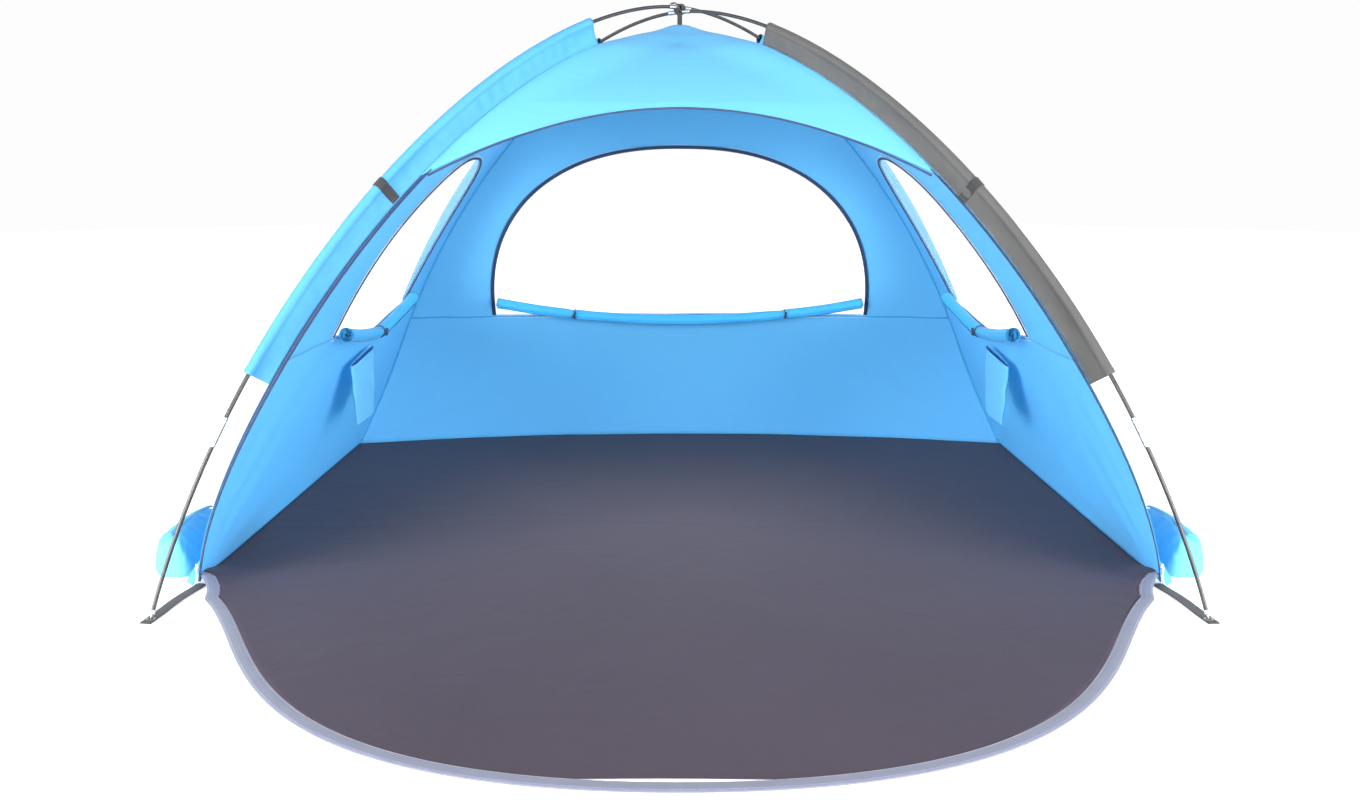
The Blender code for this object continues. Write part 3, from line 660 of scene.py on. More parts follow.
def cut_window(wall, across, lengths):
    """Moves the points round a window on to its outline, and says which cells are kept."""
    heights = profile(lengths)[3]
    middle = [g[:-1, :-1] + g[1:, :-1] + g[:-1, 1:] + g[1:, 1:] for g in (across, heights)]
    inside = in_window(wall, middle[0] / 4, middle[1] / 4)
    touched = [np.zeros(across.shape, bool), np.zeros(across.shape, bool)]
    for mask, cell in zip(touched, (inside, ~inside)):
        for i in (0, 1):
            for j in (0, 1):
                part = mask[i : i + cell.shape[0], j : j + cell.shape[1]]
                part |= cell
    rim = touched[0] & touched[1]
    curve = window_curve(wall, count=900)
    along = np.linspace(curve[-1, 0], curve[0, 0], 500)
    outline = np.concatenate([curve, np.stack([along, sill_height(wall, along)], axis=1)])
    spots = np.stack([across[rim], heights[rim]], axis=1)
    nearest = np.argmin(((spots[:, None] - outline[None]) ** 2).sum(axis=2), axis=1)
    across[rim] = outline[nearest, 0]
    lengths[rim] = length_at(outline[nearest, 1])
    return ~inside


def visor_grid(rows, columns):
    """The visor's grid: its last row follows the curved front edge."""
    share = np.linspace(-1, 1, columns)
    arc = VISOR_EDGE - VISOR_CURVE * (VISOR_HALF * share) ** 2
    edge = length_at(arc)
    lengths = np.linspace(0, SEAM_END, rows)
    last = int(np.argmin(np.abs(lengths - edge[0])))
    lengths = lengths[: last + 1]
    half = profile(lengths)[0]
    grown = lengths[:, None] * (1 + (edge / edge[0] - 1) * (lengths / lengths[-1])[:, None] ** 2)
    return half[:, None] * share, grown


def canopy(surface):
    """Roof panel and three walls as one sheet, sewn along the pole seams."""
    points, coords, faces = [], [], []
    for wall, columns in WALL_COLUMNS.items():
        if wall == "visor":
            across, lengths = visor_grid(WALL_ROWS, columns)
            kept = np.ones((len(across) - 1, columns - 1), bool)
        else:
            across, lengths = wall_grid(wall, WALL_ROWS, columns)
            kept = cut_window(wall, across, lengths)
        grid = on_wall(wall, across, lengths, CLOTH / 2)
        grid[:, [0, -1]] = bare_wall(wall, across[:, [0, -1]], lengths[:, [0, -1]])
        grid[0] = (0, 0, profile(0.0)[3])
        quads = cells(*across.shape).reshape(*kept.shape, 4)[kept]
        faces.append(quads + sum(len(p) for p in points))
        points.append(grid.reshape(-1, 3))
        coords.append(np.stack([across, lengths], axis=-1).reshape(-1, 2))
    made = piece(
        "canopy", np.concatenate(points), np.concatenate(faces), surface, np.concatenate(coords), 2e-5
    )
    thick(made, CLOTH)
    placed(made, "shelter", "canopy", "roof_visor", "left_wall", "right_wall", "back_wall")
    return made


def window_net(wall, surface):
    """The mesh panel of a window: it reaches past the outline and below the sill."""
    across = np.linspace(-1, 1, NET_COLUMNS)
    rise = np.linspace(0, 1, NET_ROWS)
    middle, half, tall, power, sill = WINDOWS[wall]
    wide = (1 - rise**power) ** (1 / power)
    wide[-1] = 0.02
    grid_across = middle + across * (half + NET_MARGIN) * wide[:, None]
    base = sill_height(wall, grid_across[:1]) - NET_BELOW_SILL
    heights = base + rise[:, None] * (sill + tall + NET_MARGIN - base)
    lengths = length_at(heights)
    points = on_wall(wall, grid_across, lengths, NET_DEPTH)
    coords = np.stack([grid_across, lengths], axis=-1)
    word = WORDS[wall]
    made = piece(f"{word}_window_net", points, cells(NET_ROWS, NET_COLUMNS), surface, coords)
    placed(made, "shelter", "window_mesh", f"{word}_window_mesh")


def line_on(wall, spots, depth):
    """Points and outward directions along (across, height) spots of a wall."""
    spots = np.asarray(spots, float)
    lengths = length_at(spots[:, 1])
    return on_wall(wall, spots[:, 0], lengths, depth), wall_normal(wall, spots[:, 0], lengths)


def window_trim(wall, tape, thread):
    """The zip round a window: tape on the inside, its coil, and stitches either side."""
    word = WORDS[wall]
    side = 0.006 if wall == "back" else 0.004
    spots = resampled(window_curve(wall, 0.001), 320)
    points, out = line_on(wall, spots, 0.0034)
    parts = [ribbon(f"{word}_tape", points, -out, 2 * side, 0.0009, tape)]
    parts.append(tube(f"{word}_coil", points - out * 0.0012, 0.0017, tape, 10, caps=True))
    outer, out = line_on(wall, resampled(window_curve(wall, 0.001), 320), -0.0006)
    parts.append(ribbon(f"{word}_outer", outer, out, 2 * side, 0.0007, tape))
    for grow in (side * 0.7, -side * 0.7):
        points, out = line_on(wall, resampled(window_curve(wall, 0.001 + grow), 320), 0.0040)
        parts.append(stitches(f"{word}_thread", points, -out, thread))
    placed(joined(f"{word}_window_zip", parts), "shelter", "tie_cord")


def seam_tapes(tape, thread):
    """The bound seams inside: up both rear corners, and level with the window sills."""
    parts = []
    for side in (-1, 1):
        lengths = np.linspace(0.12, SEAM_END - 0.01, 160)
        points = bare_wall("back", side * profile(lengths)[0], lengths)
        inward = unit(np.array((-side * 1.0, -1.0, 0.0)))
        line = points + inward * 0.004
        parts.append(ribbon(f"seam_{side}", line, inward, 0.008, 0.0016, tape, crown=0.001))
        wall = {-1: "left", 1: "right"}[side]
        level = WINDOWS[wall][4] - SEAM_TAPE_DROP
        _, front, rear, _ = (float(v) for v in profile(length_at(level)))
        y = np.linspace(front + 0.004, rear - 0.006, 90)
        dip = sill_height(wall, y) - SEAM_TAPE_DROP
        points, out = line_on(wall, np.stack([y, dip], axis=1), 0.0018)
        parts.append(ribbon(f"sill_{side}", points, -out, 0.005, 0.0012, tape, crown=0.0008))
        parts.append(stitches(f"sill_thread_{side}", points - out * 0.0012, -out, thread))
    level = WINDOWS["back"][4] - SEAM_TAPE_DROP
    half = float(profile(length_at(level))[0])
    x = np.linspace(-half + 0.005, half - 0.005, 160)
    points, out = line_on("back", np.stack([x, np.full(160, level)], axis=1), 0.0018)
    parts.append(ribbon("sill_back", points, -out, 0.005, 0.0012, tape, crown=0.0008))
    parts.append(stitches("sill_thread_back", points - out * 0.0012, -out, thread))
    placed(joined("seam_tapes", parts), "shelter", "canopy")


def visor_binding(tape, thread):
    """The dark piping that binds the curved front edge of the roof panel."""
    x = np.linspace(-VISOR_HALF, VISOR_HALF, 160)
    lengths = length_at(VISOR_EDGE - VISOR_CURVE * x**2)
    points = on_wall("visor", x, lengths, CLOTH / 2)
    out = wall_normal("visor", x, lengths)
    parts = [tube("binding", points, 0.0026, tape, 12, out, flat=0.7)]
    hem = on_wall("visor", x, lengths - 0.009, -0.0003)
    parts.append(stitches("binding_thread", hem, out, thread))
    placed(joined("visor_binding", parts), "shelter", "tie_cord")


def front_zips(tape, thread):
    """Half a zip down each front edge, on a turned-in strip of canopy cloth."""
    low = float(length_at(VISOR_EDGE - VISOR_CURVE * VISOR_HALF**2)) - 0.02
    for side, word, wide in ((-1, "left", 0.011), (1, "right", 0.005)):
        lengths = np.linspace(low, SEAM_END - 0.004, 220)
        half, front, _, height = profile(lengths)
        seam = np.stack([side * half, front, height], axis=-1)
        inward = np.broadcast_to(np.array((-side * 1.0, 0.0, 0.0)), seam.shape)
        facing = np.cross(np.gradient(seam, axis=0), inward) * side
        facing = unit(facing) * np.sign(-facing[:, 1:2])
        taper = wide * (0.30 + 0.70 * smooth(height, 0.05, 0.6))
        middle = seam + inward * (0.001 + taper[:, None] / 2) - facing * 0.001
        parts = [ribbon(f"{word}_tape", middle, facing, taper, 0.0010, tape)]
        teeth = seam + inward * (0.001 + taper[:, None])
        parts.append(tube(f"{word}_teeth", teeth, 0.0015, tape, 8))
        parts.append(stitches(f"{word}_thread", middle + facing * 0.0010, facing, thread))
        placed(joined(f"door_zip_{word}", parts), "shelter", "tie_cord")


# ---- poles and sleeves ---------------------------------------------------------------


def pole_pieces(letter, arch, rod, steel):
    """Smooth tubes for the rod sections, the crimped ferrules and the stepped tips."""
    joints = arch.joints()
    ends = [-arch.half + TIP_LENGTH, *joints, arch.half - TIP_LENGTH]
    for number, (low, high) in enumerate(zip(ends, ends[1:]), 1):
        centre, out = arch.place(np.linspace(low + 0.0002, high - 0.0002, 60))
        name = f"pole_{letter}_section_{number}"
        placed(tube(f"{name}_rod", centre, ROD_RADIUS, rod, 20, out), "shelter", "pole_tube", name)
    for number, joint in enumerate(joints, 1):
        share = np.linspace(-1, 1, 61)
        centre, out = arch.place(joint + share * FERRULE_HALF)
        crimp = np.exp(-(((np.abs(share) - 0.78) / 0.035) ** 2))
        radius = FERRULE_RADIUS - 0.0005 * crimp - 0.0007 * smooth(np.abs(share), 0.975, 1.0)
        name = f"pole_{letter}_ferrule_{number}"
        placed(tube(f"{name}_tube", centre, radius, steel, 24, out), "shelter", "ferrule", name)
    for end, sign in (("front", -1), ("rear", 1)):
        along = np.array((0.022, 0.0212, 0.0125, 0.012, 0.0115, 0.0110, 0.0030, 0.0022, 0.002))
        radius = (0.0042, 0.0049, 0.0049, 0.0046, 0.0030, 0.0022, 0.0022, 0.0018, 0.0008)
        centre, out = arch.place(sign * (arch.half - along))
        name = f"pole_{letter}_tip_{end}"
        placed(tube(f"{name}_cap", centre, radius, steel, 20, out), "shelter", "ferrule", name)


def sleeve_section(grow=0.0):
    """The teardrop round a pole, from one side of its sewn foot to the other."""
    foot = -SEAM_DROP
    angle = np.radians(np.linspace(-135, 135, 25))
    loop = np.stack([np.cos(angle), np.sin(angle)], axis=1) * (SLEEVE_RADIUS + grow)
    share = np.linspace(0, 1, 9)[:-1]
    over = -0.0012 - grow / 2 + (loop[0, 1] + 0.0012) * share**1.6
    tail = np.stack([foot + (loop[0, 0] - foot) * share, over], axis=1)
    mirror = tail[::-1] * (1, -1)
    return np.concatenate([tail, loop, mirror])


def sleeve(name, arch, sign, surface, thread):
    """A cloth tunnel with puckers along its seam and a turned hem at each end."""
    stations = np.linspace(SLEEVE_TOP, arch.half - SLEEVE_END, 230)
    centre, out = arch.place(sign * stations)
    section = sleeve_section()
    rows, columns = len(stations), len(section)
    end = np.minimum(stations - stations[0], stations[-1] - stations)
    hem = 0.0006 * (smooth(end, 0.0, 0.001) - smooth(end, 0.011, 0.0125))
    depth = np.clip(-section[:, 0] / SEAM_DROP, 0, 1)
    wave = np.sin(95 * stations + 3 * np.sin(21 * stations)) + 0.6 * np.sin(187 * stations + 1.3)
    slack = np.sin(11 * stations + 2.0 * sign) + 0.7 * np.sin(23 * stations + 0.7)
    pucker = 0.0007 * wave[:, None] * np.sin(pi * depth)[None, :]
    lean = 0.0022 * slack[:, None] * np.sin(pi * np.clip(depth, 0, 1))[None, :]
    side = np.sign(section[:, 1])[None, :]
    radial = np.broadcast_to(section[:, 0], (rows, columns)) + hem[:, None] * (section[:, 0] > -0.005)
    over = section[:, 1][None, :] * (1 + hem[:, None] / SLEEVE_RADIUS) + pucker * side + lean
    radial = np.where(radial < 0, radial * (arch.drop(stations) / SEAM_DROP)[:, None], radial)
    grid = centre[:, None] + out[:, None] * radial[..., None] + arch.across * over[..., None]
    girth = lengths_of(section)
    coords = grid_coords(stations, girth)
    made = thick(piece(name, grid, cells(rows, columns), surface, coords), 0.0006)
    parts = [made]
    for side in (-1, 1):
        line = centre - out * (SEAM_DROP - 0.006) + arch.across * (side * 0.0042)
        parts.append(stitches(f"{name}_thread", line, arch.across * side, thread))
    return joined(name, parts)


def guy_band(name, arch, length, surface):
    """The webbing loop sewn round a front sleeve for a guy line."""
    stations = length + np.linspace(-0.0115, 0.0115, 9)
    centre, out = arch.place(-stations)
    section = sleeve_section(0.0016)
    grid = centre[:, None] + out[:, None] * section[None, :, :1] + arch.across * section[None, :, 1:]
    girth = lengths_of(section)
    coords = np.stack(np.broadcast_arrays(girth[None, :], stations[:, None]), axis=-1)
    made = piece(name, grid, cells(len(stations), len(section)), surface, coords)
    return placed(thick(made, 0.0014), "shelter", "webbing")


def apex_tie(surface):
    """The band round the crossing, the drop strap to the peak and its loose end."""
    peak = profile(0.0)[3]
    parts = []
    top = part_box("apex_tie")[1][2] - 0.0006
    low = APEX_HEIGHT - CROSSING_RISE - 0.0062
    middle = (0, 0, (top + low) / 2)
    for turn, wide in ((0.75, 0.0085), (-0.62, 0.0075)):
        angle = np.linspace(0, tau, 49)
        ring = np.stack([0.0125 * np.cos(angle), 0 * angle, (top - low) / 2 * np.sin(angle)], axis=1)
        ring = ring @ np.array(Matrix.Rotation(turn, 3, "Z")).T + middle
        facing = unit(ring - middle)
        parts.append(ribbon(f"ring_{wide}", ring, facing, wide * 2, 0.0012, surface))
    slack = 0.003 * np.sin(np.linspace(0, pi, 12))
    drop = np.stack([np.zeros(12), slack, np.linspace(low, peak, 12)], axis=1)
    parts.append(ribbon("drop", drop, (0, -1, 0), 0.012, 0.0012, surface))
    pulls = ((-0.012, -0.006, top + 0.004), (-0.020, -0.008, top + 0.003))
    tail = bezier(((-0.008, -0.004, top), *pulls, (-0.023, -0.009, top - 0.006)), np.linspace(0, 1, 14))
    parts.append(ribbon("tail", tail, (0, -0.5, 0.9), 0.008, 0.0012, surface))
    placed(joined("apex_strap", parts), "shelter", "webbing", "apex_tie")


# ---- rolled flaps --------------------------------------------------------------------


def roll_line(wall, count):
    """Centres of a rolled flap along its sill, sagging between its ends."""
    if wall == "back":
        x = np.linspace(-REAR_ROLL_HALF, REAR_ROLL_HALF, count)
        sag = REAR_ROLL_SAG * (1 - (x / REAR_ROLL_HALF) ** 2)
        height = WINDOWS[wall][4] + REAR_ROLL_RISE - sag
        lengths = length_at(height)
        place = bare_wall("back", x, lengths)
        place[:, 1] -= CAD_CLOTH + ROLL_CLEARANCE + ROLL_RADIUS
        return place
    low, high = SIDE_ROLL_ENDS
    y = np.linspace(low, high, count)
    front, tied, rear = SIDE_ROLL_HEIGHTS
    ahead = y < SIDE_TIE_Y
    share = (y - SIDE_TIE_Y) / np.where(ahead, low - SIDE_TIE_Y, high - SIDE_TIE_Y)
    height = tied + (np.where(ahead, front, rear) - tied) * share**SIDE_ROLL_BEND
    place = bare_wall(wall, y, length_at(height))
    place[:, 0] -= np.sign(place[:, 0]) * (CAD_CLOTH + ROLL_CLEARANCE + ROLL_RADIUS)
    return place


def flap_roll(wall, surface, ties):
    """A window cover rolled up as a spiral, pinched where it is tied."""
    count = FLAP_COUNT
    centres = roll_line(wall, count)
    inwards = np.array({"back": (0, -1, 0), "left": (1, 0, 0), "right": (-1, 0, 0)}[wall], float)
    length = lengths_of(centres)
    along = unit(np.gradient(centres, axis=0))
    above = unit(np.cross(along, inwards))
    above = above * np.sign(above[:, 2:3])
    angle = np.linspace(0, tau * FLAP_TURNS, FLAP_TURNS * FLAP_SIDES)
    spiral = 0.0030 + (ROLL_RADIUS - 0.0008 - 0.0030) * angle / angle[-1]
    pinch = np.ones(count)
    loose = np.zeros(count)
    for tie in ties:
        pinch -= 0.16 * np.exp(-(((length - tie) / 0.012) ** 2))
        near = (length - tie) / 0.06
        loose += np.exp(-(near**2)) * np.sin(4 * near)
    ends = np.minimum(length, length[-1] - length)
    flare = 1 + 0.07 * np.exp(-ends / 0.02)
    ripple = 0.035 * np.sin(3 * angle[None, :] + 25 * length[:, None]) * np.sin(9 * length[:, None] + 1)
    radius = spiral[None, :] * (pinch * flare)[:, None] * (1 + ripple + 0.03 * loose[:, None])
    start = -0.6
    over, rise = np.cos(angle + start) * radius, np.sin(angle + start) * radius * 0.96
    slip = 0.004 * np.sin(angle * 0.8)[None, :] * np.where(length < length[-1] / 2, -1, 1)[:, None]
    slip = slip * np.exp(-ends / 0.01)[:, None]
    grid = centres[:, None] + inwards * over[..., None] + above[:, None] * rise[..., None]
    grid = grid + along[:, None] * slip[..., None]
    cut = lengths_of(np.stack([np.cos(angle) * spiral, np.sin(angle) * spiral], axis=1))
    coords = grid_coords(length, cut)
    word = WORDS[wall]
    made = piece(f"{word}_flap", grid, cells(count, len(angle)), surface, coords)
    thick(made, 0.0005)
    placed(made, BODIES[wall], "flap", f"{word}_flap_roll")
    return centres, length, inwards


def flap_tie(name, body, centres, length, at, inwards, cord, toggle):
    """A cord loop round a roll, closed by a toggle with its ends hanging."""
    centre = np.array([np.interp(at, length, c) for c in centres.T])
    ahead = np.array([np.interp(at + 0.01, length, c) for c in centres.T]) - centre
    ahead = unit(ahead)
    above = np.cross(ahead, inwards)
    above = unit(above * np.sign(above[2]))
    angle = np.linspace(0, tau, 41)
    loop_radius = ROLL_RADIUS * 0.86 + 0.0006
    ring = centre + inwards * (np.cos(angle) * loop_radius)[:, None]
    ring = ring + above * (np.sin(angle) * loop_radius)[:, None]
    parts = [tube(f"{name}_loop", ring, 0.0014, cord, 8, ahead, caps=False)]
    front = centre + inwards * (ROLL_RADIUS + 0.0032)
    share = np.linspace(-1, 1, 25)
    barrel = 0.0034 * (1 - 0.28 * np.exp(-((share / 0.22) ** 2)) - 0.45 * smooth(np.abs(share), 0.86, 1.0))
    lean = unit(above + ahead * 0.35)
    parts.append(tube(f"{name}_bar", front + lean * (share * 0.0105)[:, None], barrel, toggle, 14, inwards))
    for side in (-1, 1):
        end = front - above * 0.012 + ahead * (side * 0.006) - inwards * 0.004
        pulls = (front + inwards * 0.002 - above * 0.004, end + above * 0.004)
        tail = bezier((front, *pulls, end), np.linspace(0, 1, 10))
        parts.append(tube(f"{name}_end", tail, 0.0011, cord, 7))
    return placed(joined(f"{name}_cord", parts), body, "tie_cord", name)


def flaps(surface, cord, toggle):
    centres, length, inwards = flap_roll("back", surface, (0.24, 0.92))
    for sign, word in ((-1, "left"), (1, "right")):
        at = float(np.interp(sign * REAR_TIE_X, centres[:, 0], length))
        flap_tie(f"rear_flap_tie_{word}", "rear_flap", centres, length, at, inwards, cord, toggle)
    for wall in ("left", "right"):
        at = float(SIDE_TIE_Y - SIDE_ROLL_ENDS[0])
        centres, length, inwards = flap_roll(wall, surface, (at,))
        flap_tie(f"{wall}_flap_tie", f"{wall}_flap", centres, length, at, inwards, cord, toggle)


# ---- floor and porch -----------------------------------------------------------------


def corner_lift(x, y):
    """How far the cloth stands up where the front edges pull on the floor's corners."""
    corner = float(profile(SEAM_END)[0])
    near = np.hypot(corner - np.abs(x), (y - FRONT_CORNER_Y) * 0.8)
    return CORNER_LIFT * np.exp(-((near / LIFT_REACH) ** 2))


def ground_relief(x, y):
    """Low creases in the groundsheet."""
    waves = np.sin(7 * x + 3 * y) * np.sin(4.1 * y - 2 * x + 1) + 0.5 * np.sin(17 * x + 9 * y + 2)
    ridge = np.exp(-(((y + 0.18 + 0.03 * np.sin(5 * x)) / 0.012) ** 2))
    ridge = ridge + np.exp(-(((x - 0.34 - 0.04 * y) / 0.012) ** 2)) + np.exp(-(((x + 0.37) / 0.012) ** 2))
    return 0.0022 + 0.0008 * waves + 0.0008 * ridge


def groundsheet(surface):
    """The floor and the porch as one sheet, joined along the hinge line."""
    half = float(profile(SEAM_END)[0]) - 0.001
    inner = float(porch_edge(HEM_WIDTH + 0.0003)[0, 0])
    wings = np.linspace(inner, half, 6)
    between = np.linspace(-inner, inner, GROUND_COLUMNS)
    columns = np.concatenate([-wings[:0:-1], between, wings[1:]])
    rear = REAR_CORNER_Y + REAR_BULGE * (1 - (columns / half) ** 2) - 0.001
    share = np.linspace(0, 1, 90)[:, None] ** 0.9
    y = rear + (FRONT_CORNER_Y - rear) * share
    x = np.broadcast_to(columns, y.shape)
    floor = np.stack([x, y, ground_relief(x, y) + corner_lift(x, y)], axis=-1)
    edge = porch_edge(HEM_WIDTH + 0.0003, 80)
    lowest = np.minimum.accumulate(np.concatenate([[FRONT_CORNER_Y], edge[:-1, 1]]))
    edge = np.concatenate([[(inner, FRONT_CORNER_Y)], edge[edge[:, 1] < lowest - 0.002]])
    over = np.linspace(-1, 1, GROUND_COLUMNS)
    x = edge[:, :1] * over
    y = np.broadcast_to(edge[:, 1:], x.shape)
    porch = np.stack([x, y, ground_relief(x, y) + corner_lift(x, y)], axis=-1)
    first = floor.shape[0] * floor.shape[1]
    faces = np.concatenate([cells(*floor.shape[:2]), cells(*porch.shape[:2]) + first])
    points = np.concatenate([floor.reshape(-1, 3), porch.reshape(-1, 3)])
    made = piece("groundsheet", points, faces, surface, points[:, :2], 2e-5)
    thick(made, 0.0012)
    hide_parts("floor", "porch_floor")
    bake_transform(made)
    return made


def porch_hem(surface, thread):
    """The folded binding round the porch, with two rows of stitches and its half zip."""
    outer, inner = porch_edge(0.0, 90), porch_edge(HEM_WIDTH, 90)
    outer = np.concatenate([outer, outer[-2::-1] * (-1, 1)])
    inner = np.concatenate([inner, inner[-2::-1] * (-1, 1)])
    share = np.linspace(0, 1, 9)
    plan = outer[:, None] + (inner - outer)[:, None] * share[None, :, None]
    length = lengths_of(outer)
    pucker = 0.0005 * np.sin(70 * length + 2 * np.sin(9 * length))[:, None] * np.sin(pi * share)[None, :]
    crown = 0.0022 + 0.0016 * np.sin(pi * np.clip(share * 1.15, 0, 1)) ** 0.6
    height = np.broadcast_to(crown, plan.shape[:2]) + pucker + corner_lift(plan[..., 0], plan[..., 1])
    grid = np.concatenate([plan, height[..., None]], axis=-1)
    coords = grid_coords(length, share * HEM_WIDTH)
    parts = [thick(piece("binding", grid, cells(*plan.shape[:2]), surface, coords), 0.0012)]
    for place in (0.14, 0.86):
        line = outer + (inner - outer) * place
        rise = 0.0047 + corner_lift(line[:, 0], line[:, 1])
        line = np.concatenate([line, rise[:, None]], axis=1)
        parts.append(stitches(f"thread_{place}", line, (0, 0, 1), thread))
    rim = outer + (inner - outer) * 0.04
    rim = np.concatenate([rim, (0.0016 + corner_lift(rim[:, 0], rim[:, 1]))[:, None]], axis=1)
    parts.append(tube("teeth", rim, 0.0012, surface, 8))
    made = joined("porch_binding", parts)
    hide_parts("porch_hem")
    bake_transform(made)
    return made


# ---- straps, pockets and sliders -----------------------------------------------------


def corner_strap(name, arch, sign, surface, steel):
    """The webbing from a floor corner to a pole foot, with a grommet for the pin."""
    foot = arch.place([sign * (arch.half - 0.001)])[0][0] * (1, 1, 0)
    corner_y = REAR_CORNER_Y if sign > 0 else FRONT_CORNER_Y
    half = float(profile(SEAM_END)[0])
    corner = np.array((np.sign(foot[0]) * (half - 0.0125), corner_y + np.sign(corner_y) * 0.008, 0))
    end = foot + unit(foot - corner) * 0.021
    share = np.linspace(0, 1, 60)
    line = corner + (end - corner) * share[:, None]
    gap = np.linalg.norm(foot - corner) / np.linalg.norm(end - corner)
    line[:, 2] = 0.0012 + 0.0030 * np.sin(pi * np.clip(share / gap, 0, 1)) ** 2
    parts = [ribbon(f"{name}_band", line, (0, 0, 1), 0.0245, 0.0016, surface, 9)]
    angle = np.linspace(0, tau, 49)
    for height in (0.0009, 0.0024):
        ring = foot + np.stack([0.0074 * np.cos(angle), 0.0074 * np.sin(angle), 0 * angle + height], axis=1)
        parts.append(tube(f"{name}_ring", ring, 0.0018, steel, 10, caps=False, flat=0.5))
    placed(joined(f"{name}_webbing", parts), "shelter", "webbing", name)


def rounded_box(name, low, high, radius, surface, step=0.008):
    """A box with rounded edges and an even, fine mesh, ready to be puffed or sagged."""
    low, high = np.array(low), np.array(high)
    centre, half = (low + high) / 2, (high - low) / 2
    work = bmesh.new()
    bmesh.ops.create_cube(work, size=2)
    cuts = max(4, int(max(half) * 2 / step))
    bmesh.ops.subdivide_edges(work, edges=work.edges, cuts=cuts, use_grid_fill=True)
    for vert in work.verts:
        spot = np.array(vert.co) * half
        core = np.clip(spot, radius - half, half - radius)
        away = spot - core
        size = np.linalg.norm(away)
        vert.co = centre + core + (away / size * radius if size > 1e-9 else 0)
    mesh = bpy.data.meshes.new(name)
    work.to_mesh(mesh)
    work.free()
    mesh.materials.append(surface)
    mesh.shade_smooth()
    made = bpy.data.objects.new(name, mesh)
    bpy.context.scene.collection.objects.link(made)
    return made


def box_coords(made):
    """Cloth coordinates in metres, projected along each face's main axis."""
    mesh = made.data
    layer = mesh.uv_layers.new(name="cloth") if not mesh.uv_layers else mesh.uv_layers[0]
    for face in mesh.polygons:
        axis = int(np.argmax(np.abs(face.normal)))
        keep = [k for k in range(3) if k != axis]
        for corner, vertex in zip(face.loop_indices, face.vertices):
            spot = mesh.vertices[vertex].co
            layer.data[corner].uv = (spot[keep[0]], spot[keep[1]])


def inflate(made, low, high, pressure=3.0, frames=14):
    """Fills a pouch by cloth simulation, then holds it inside its limits."""
    before = np.array([v.co for v in made.data.vertices])
    cloth_made = made.modifiers.new("Cloth", "CLOTH")
    settings = cloth_made.settings
    settings.quality = 5
    settings.tension_stiffness = 12
    settings.bending_stiffness = 0.4
    settings.use_pressure = True
    settings.uniform_pressure_force = pressure
    settings.effector_weights.gravity = 0.0
    cloth_made.point_cache.frame_end = frames
    scene = bpy.context.scene
    for frame_number in range(1, frames + 1):
        scene.frame_set(frame_number)
    applied(made)
    scene.frame_set(1)
    for vertex, start in zip(made.data.vertices, before):
        moved = np.array(vertex.co) - start
        size = np.linalg.norm(moved)
        spot = start + moved * min(1.0, 0.012 / max(size, 1e-9))
        vertex.co = np.clip(spot, low, high)


def sand_pocket(word, surface, thread):
    """A filled pouch outside a front corner, flat where it lies, with a top seam."""
    low, high = (np.array(v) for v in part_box(f"sand_pocket_{word}"))
    made = rounded_box(f"sand_pouch_{word}", low + 0.007, high - 0.007, 0.026, surface)
    inflate(made, low, high)
    for vertex in made.data.vertices:
        spot = vertex.co
        rise = (spot.z - low[2]) / (high[2] - low[2])
        along = (spot.y - low[1]) / (high[1] - low[1])
        fold = 0.0022 * sin(48 * along + 9 * rise) + 0.0014 * sin(95 * along - 20 * rise)
        middle = (low[0] + high[0]) / 2
        slump = 1 - 0.42 * max(0.0, rise) ** 1.6
        spot.x = middle + (spot.x - middle) * slump + fold * rise * (1 if spot.x > middle else -1)
        spot.z = max(low[2] + 0.0004, spot.z - 0.012 * abs(2 * along - 1) ** 2 * rise - 0.006)
        spot.x = min(max(spot.x, low[0]), high[0])
    box_coords(made)
    smoothing = made.modifiers.new("Finer", "SUBSURF")
    smoothing.levels = smoothing.render_levels = 1
    applied(made)
    y = np.linspace(low[1] + 0.016, high[1] - 0.016, 50)
    z = high[2] - 0.010 - 0.012 * np.abs(2 * (y - low[1]) / (high[1] - low[1]) - 1) ** 2
    top = np.stack([np.full(50, (low[0] + high[0]) / 2), y, z], axis=1)
    parts = [made, ribbon(f"pouch_seam_{word}", top, (0, 0, 1), 0.014, 0.0016, surface, crown=0.002)]
    for side in (-1, 1):
        parts.append(stitches(f"pouch_thread_{word}", top + (side * 0.005, 0, 0.0024), (0, 0, 1), thread))
    made = joined(f"sand_pouch_{word}", parts)
    placed(made, "shelter", "pocket", f"sand_pocket_{word}")


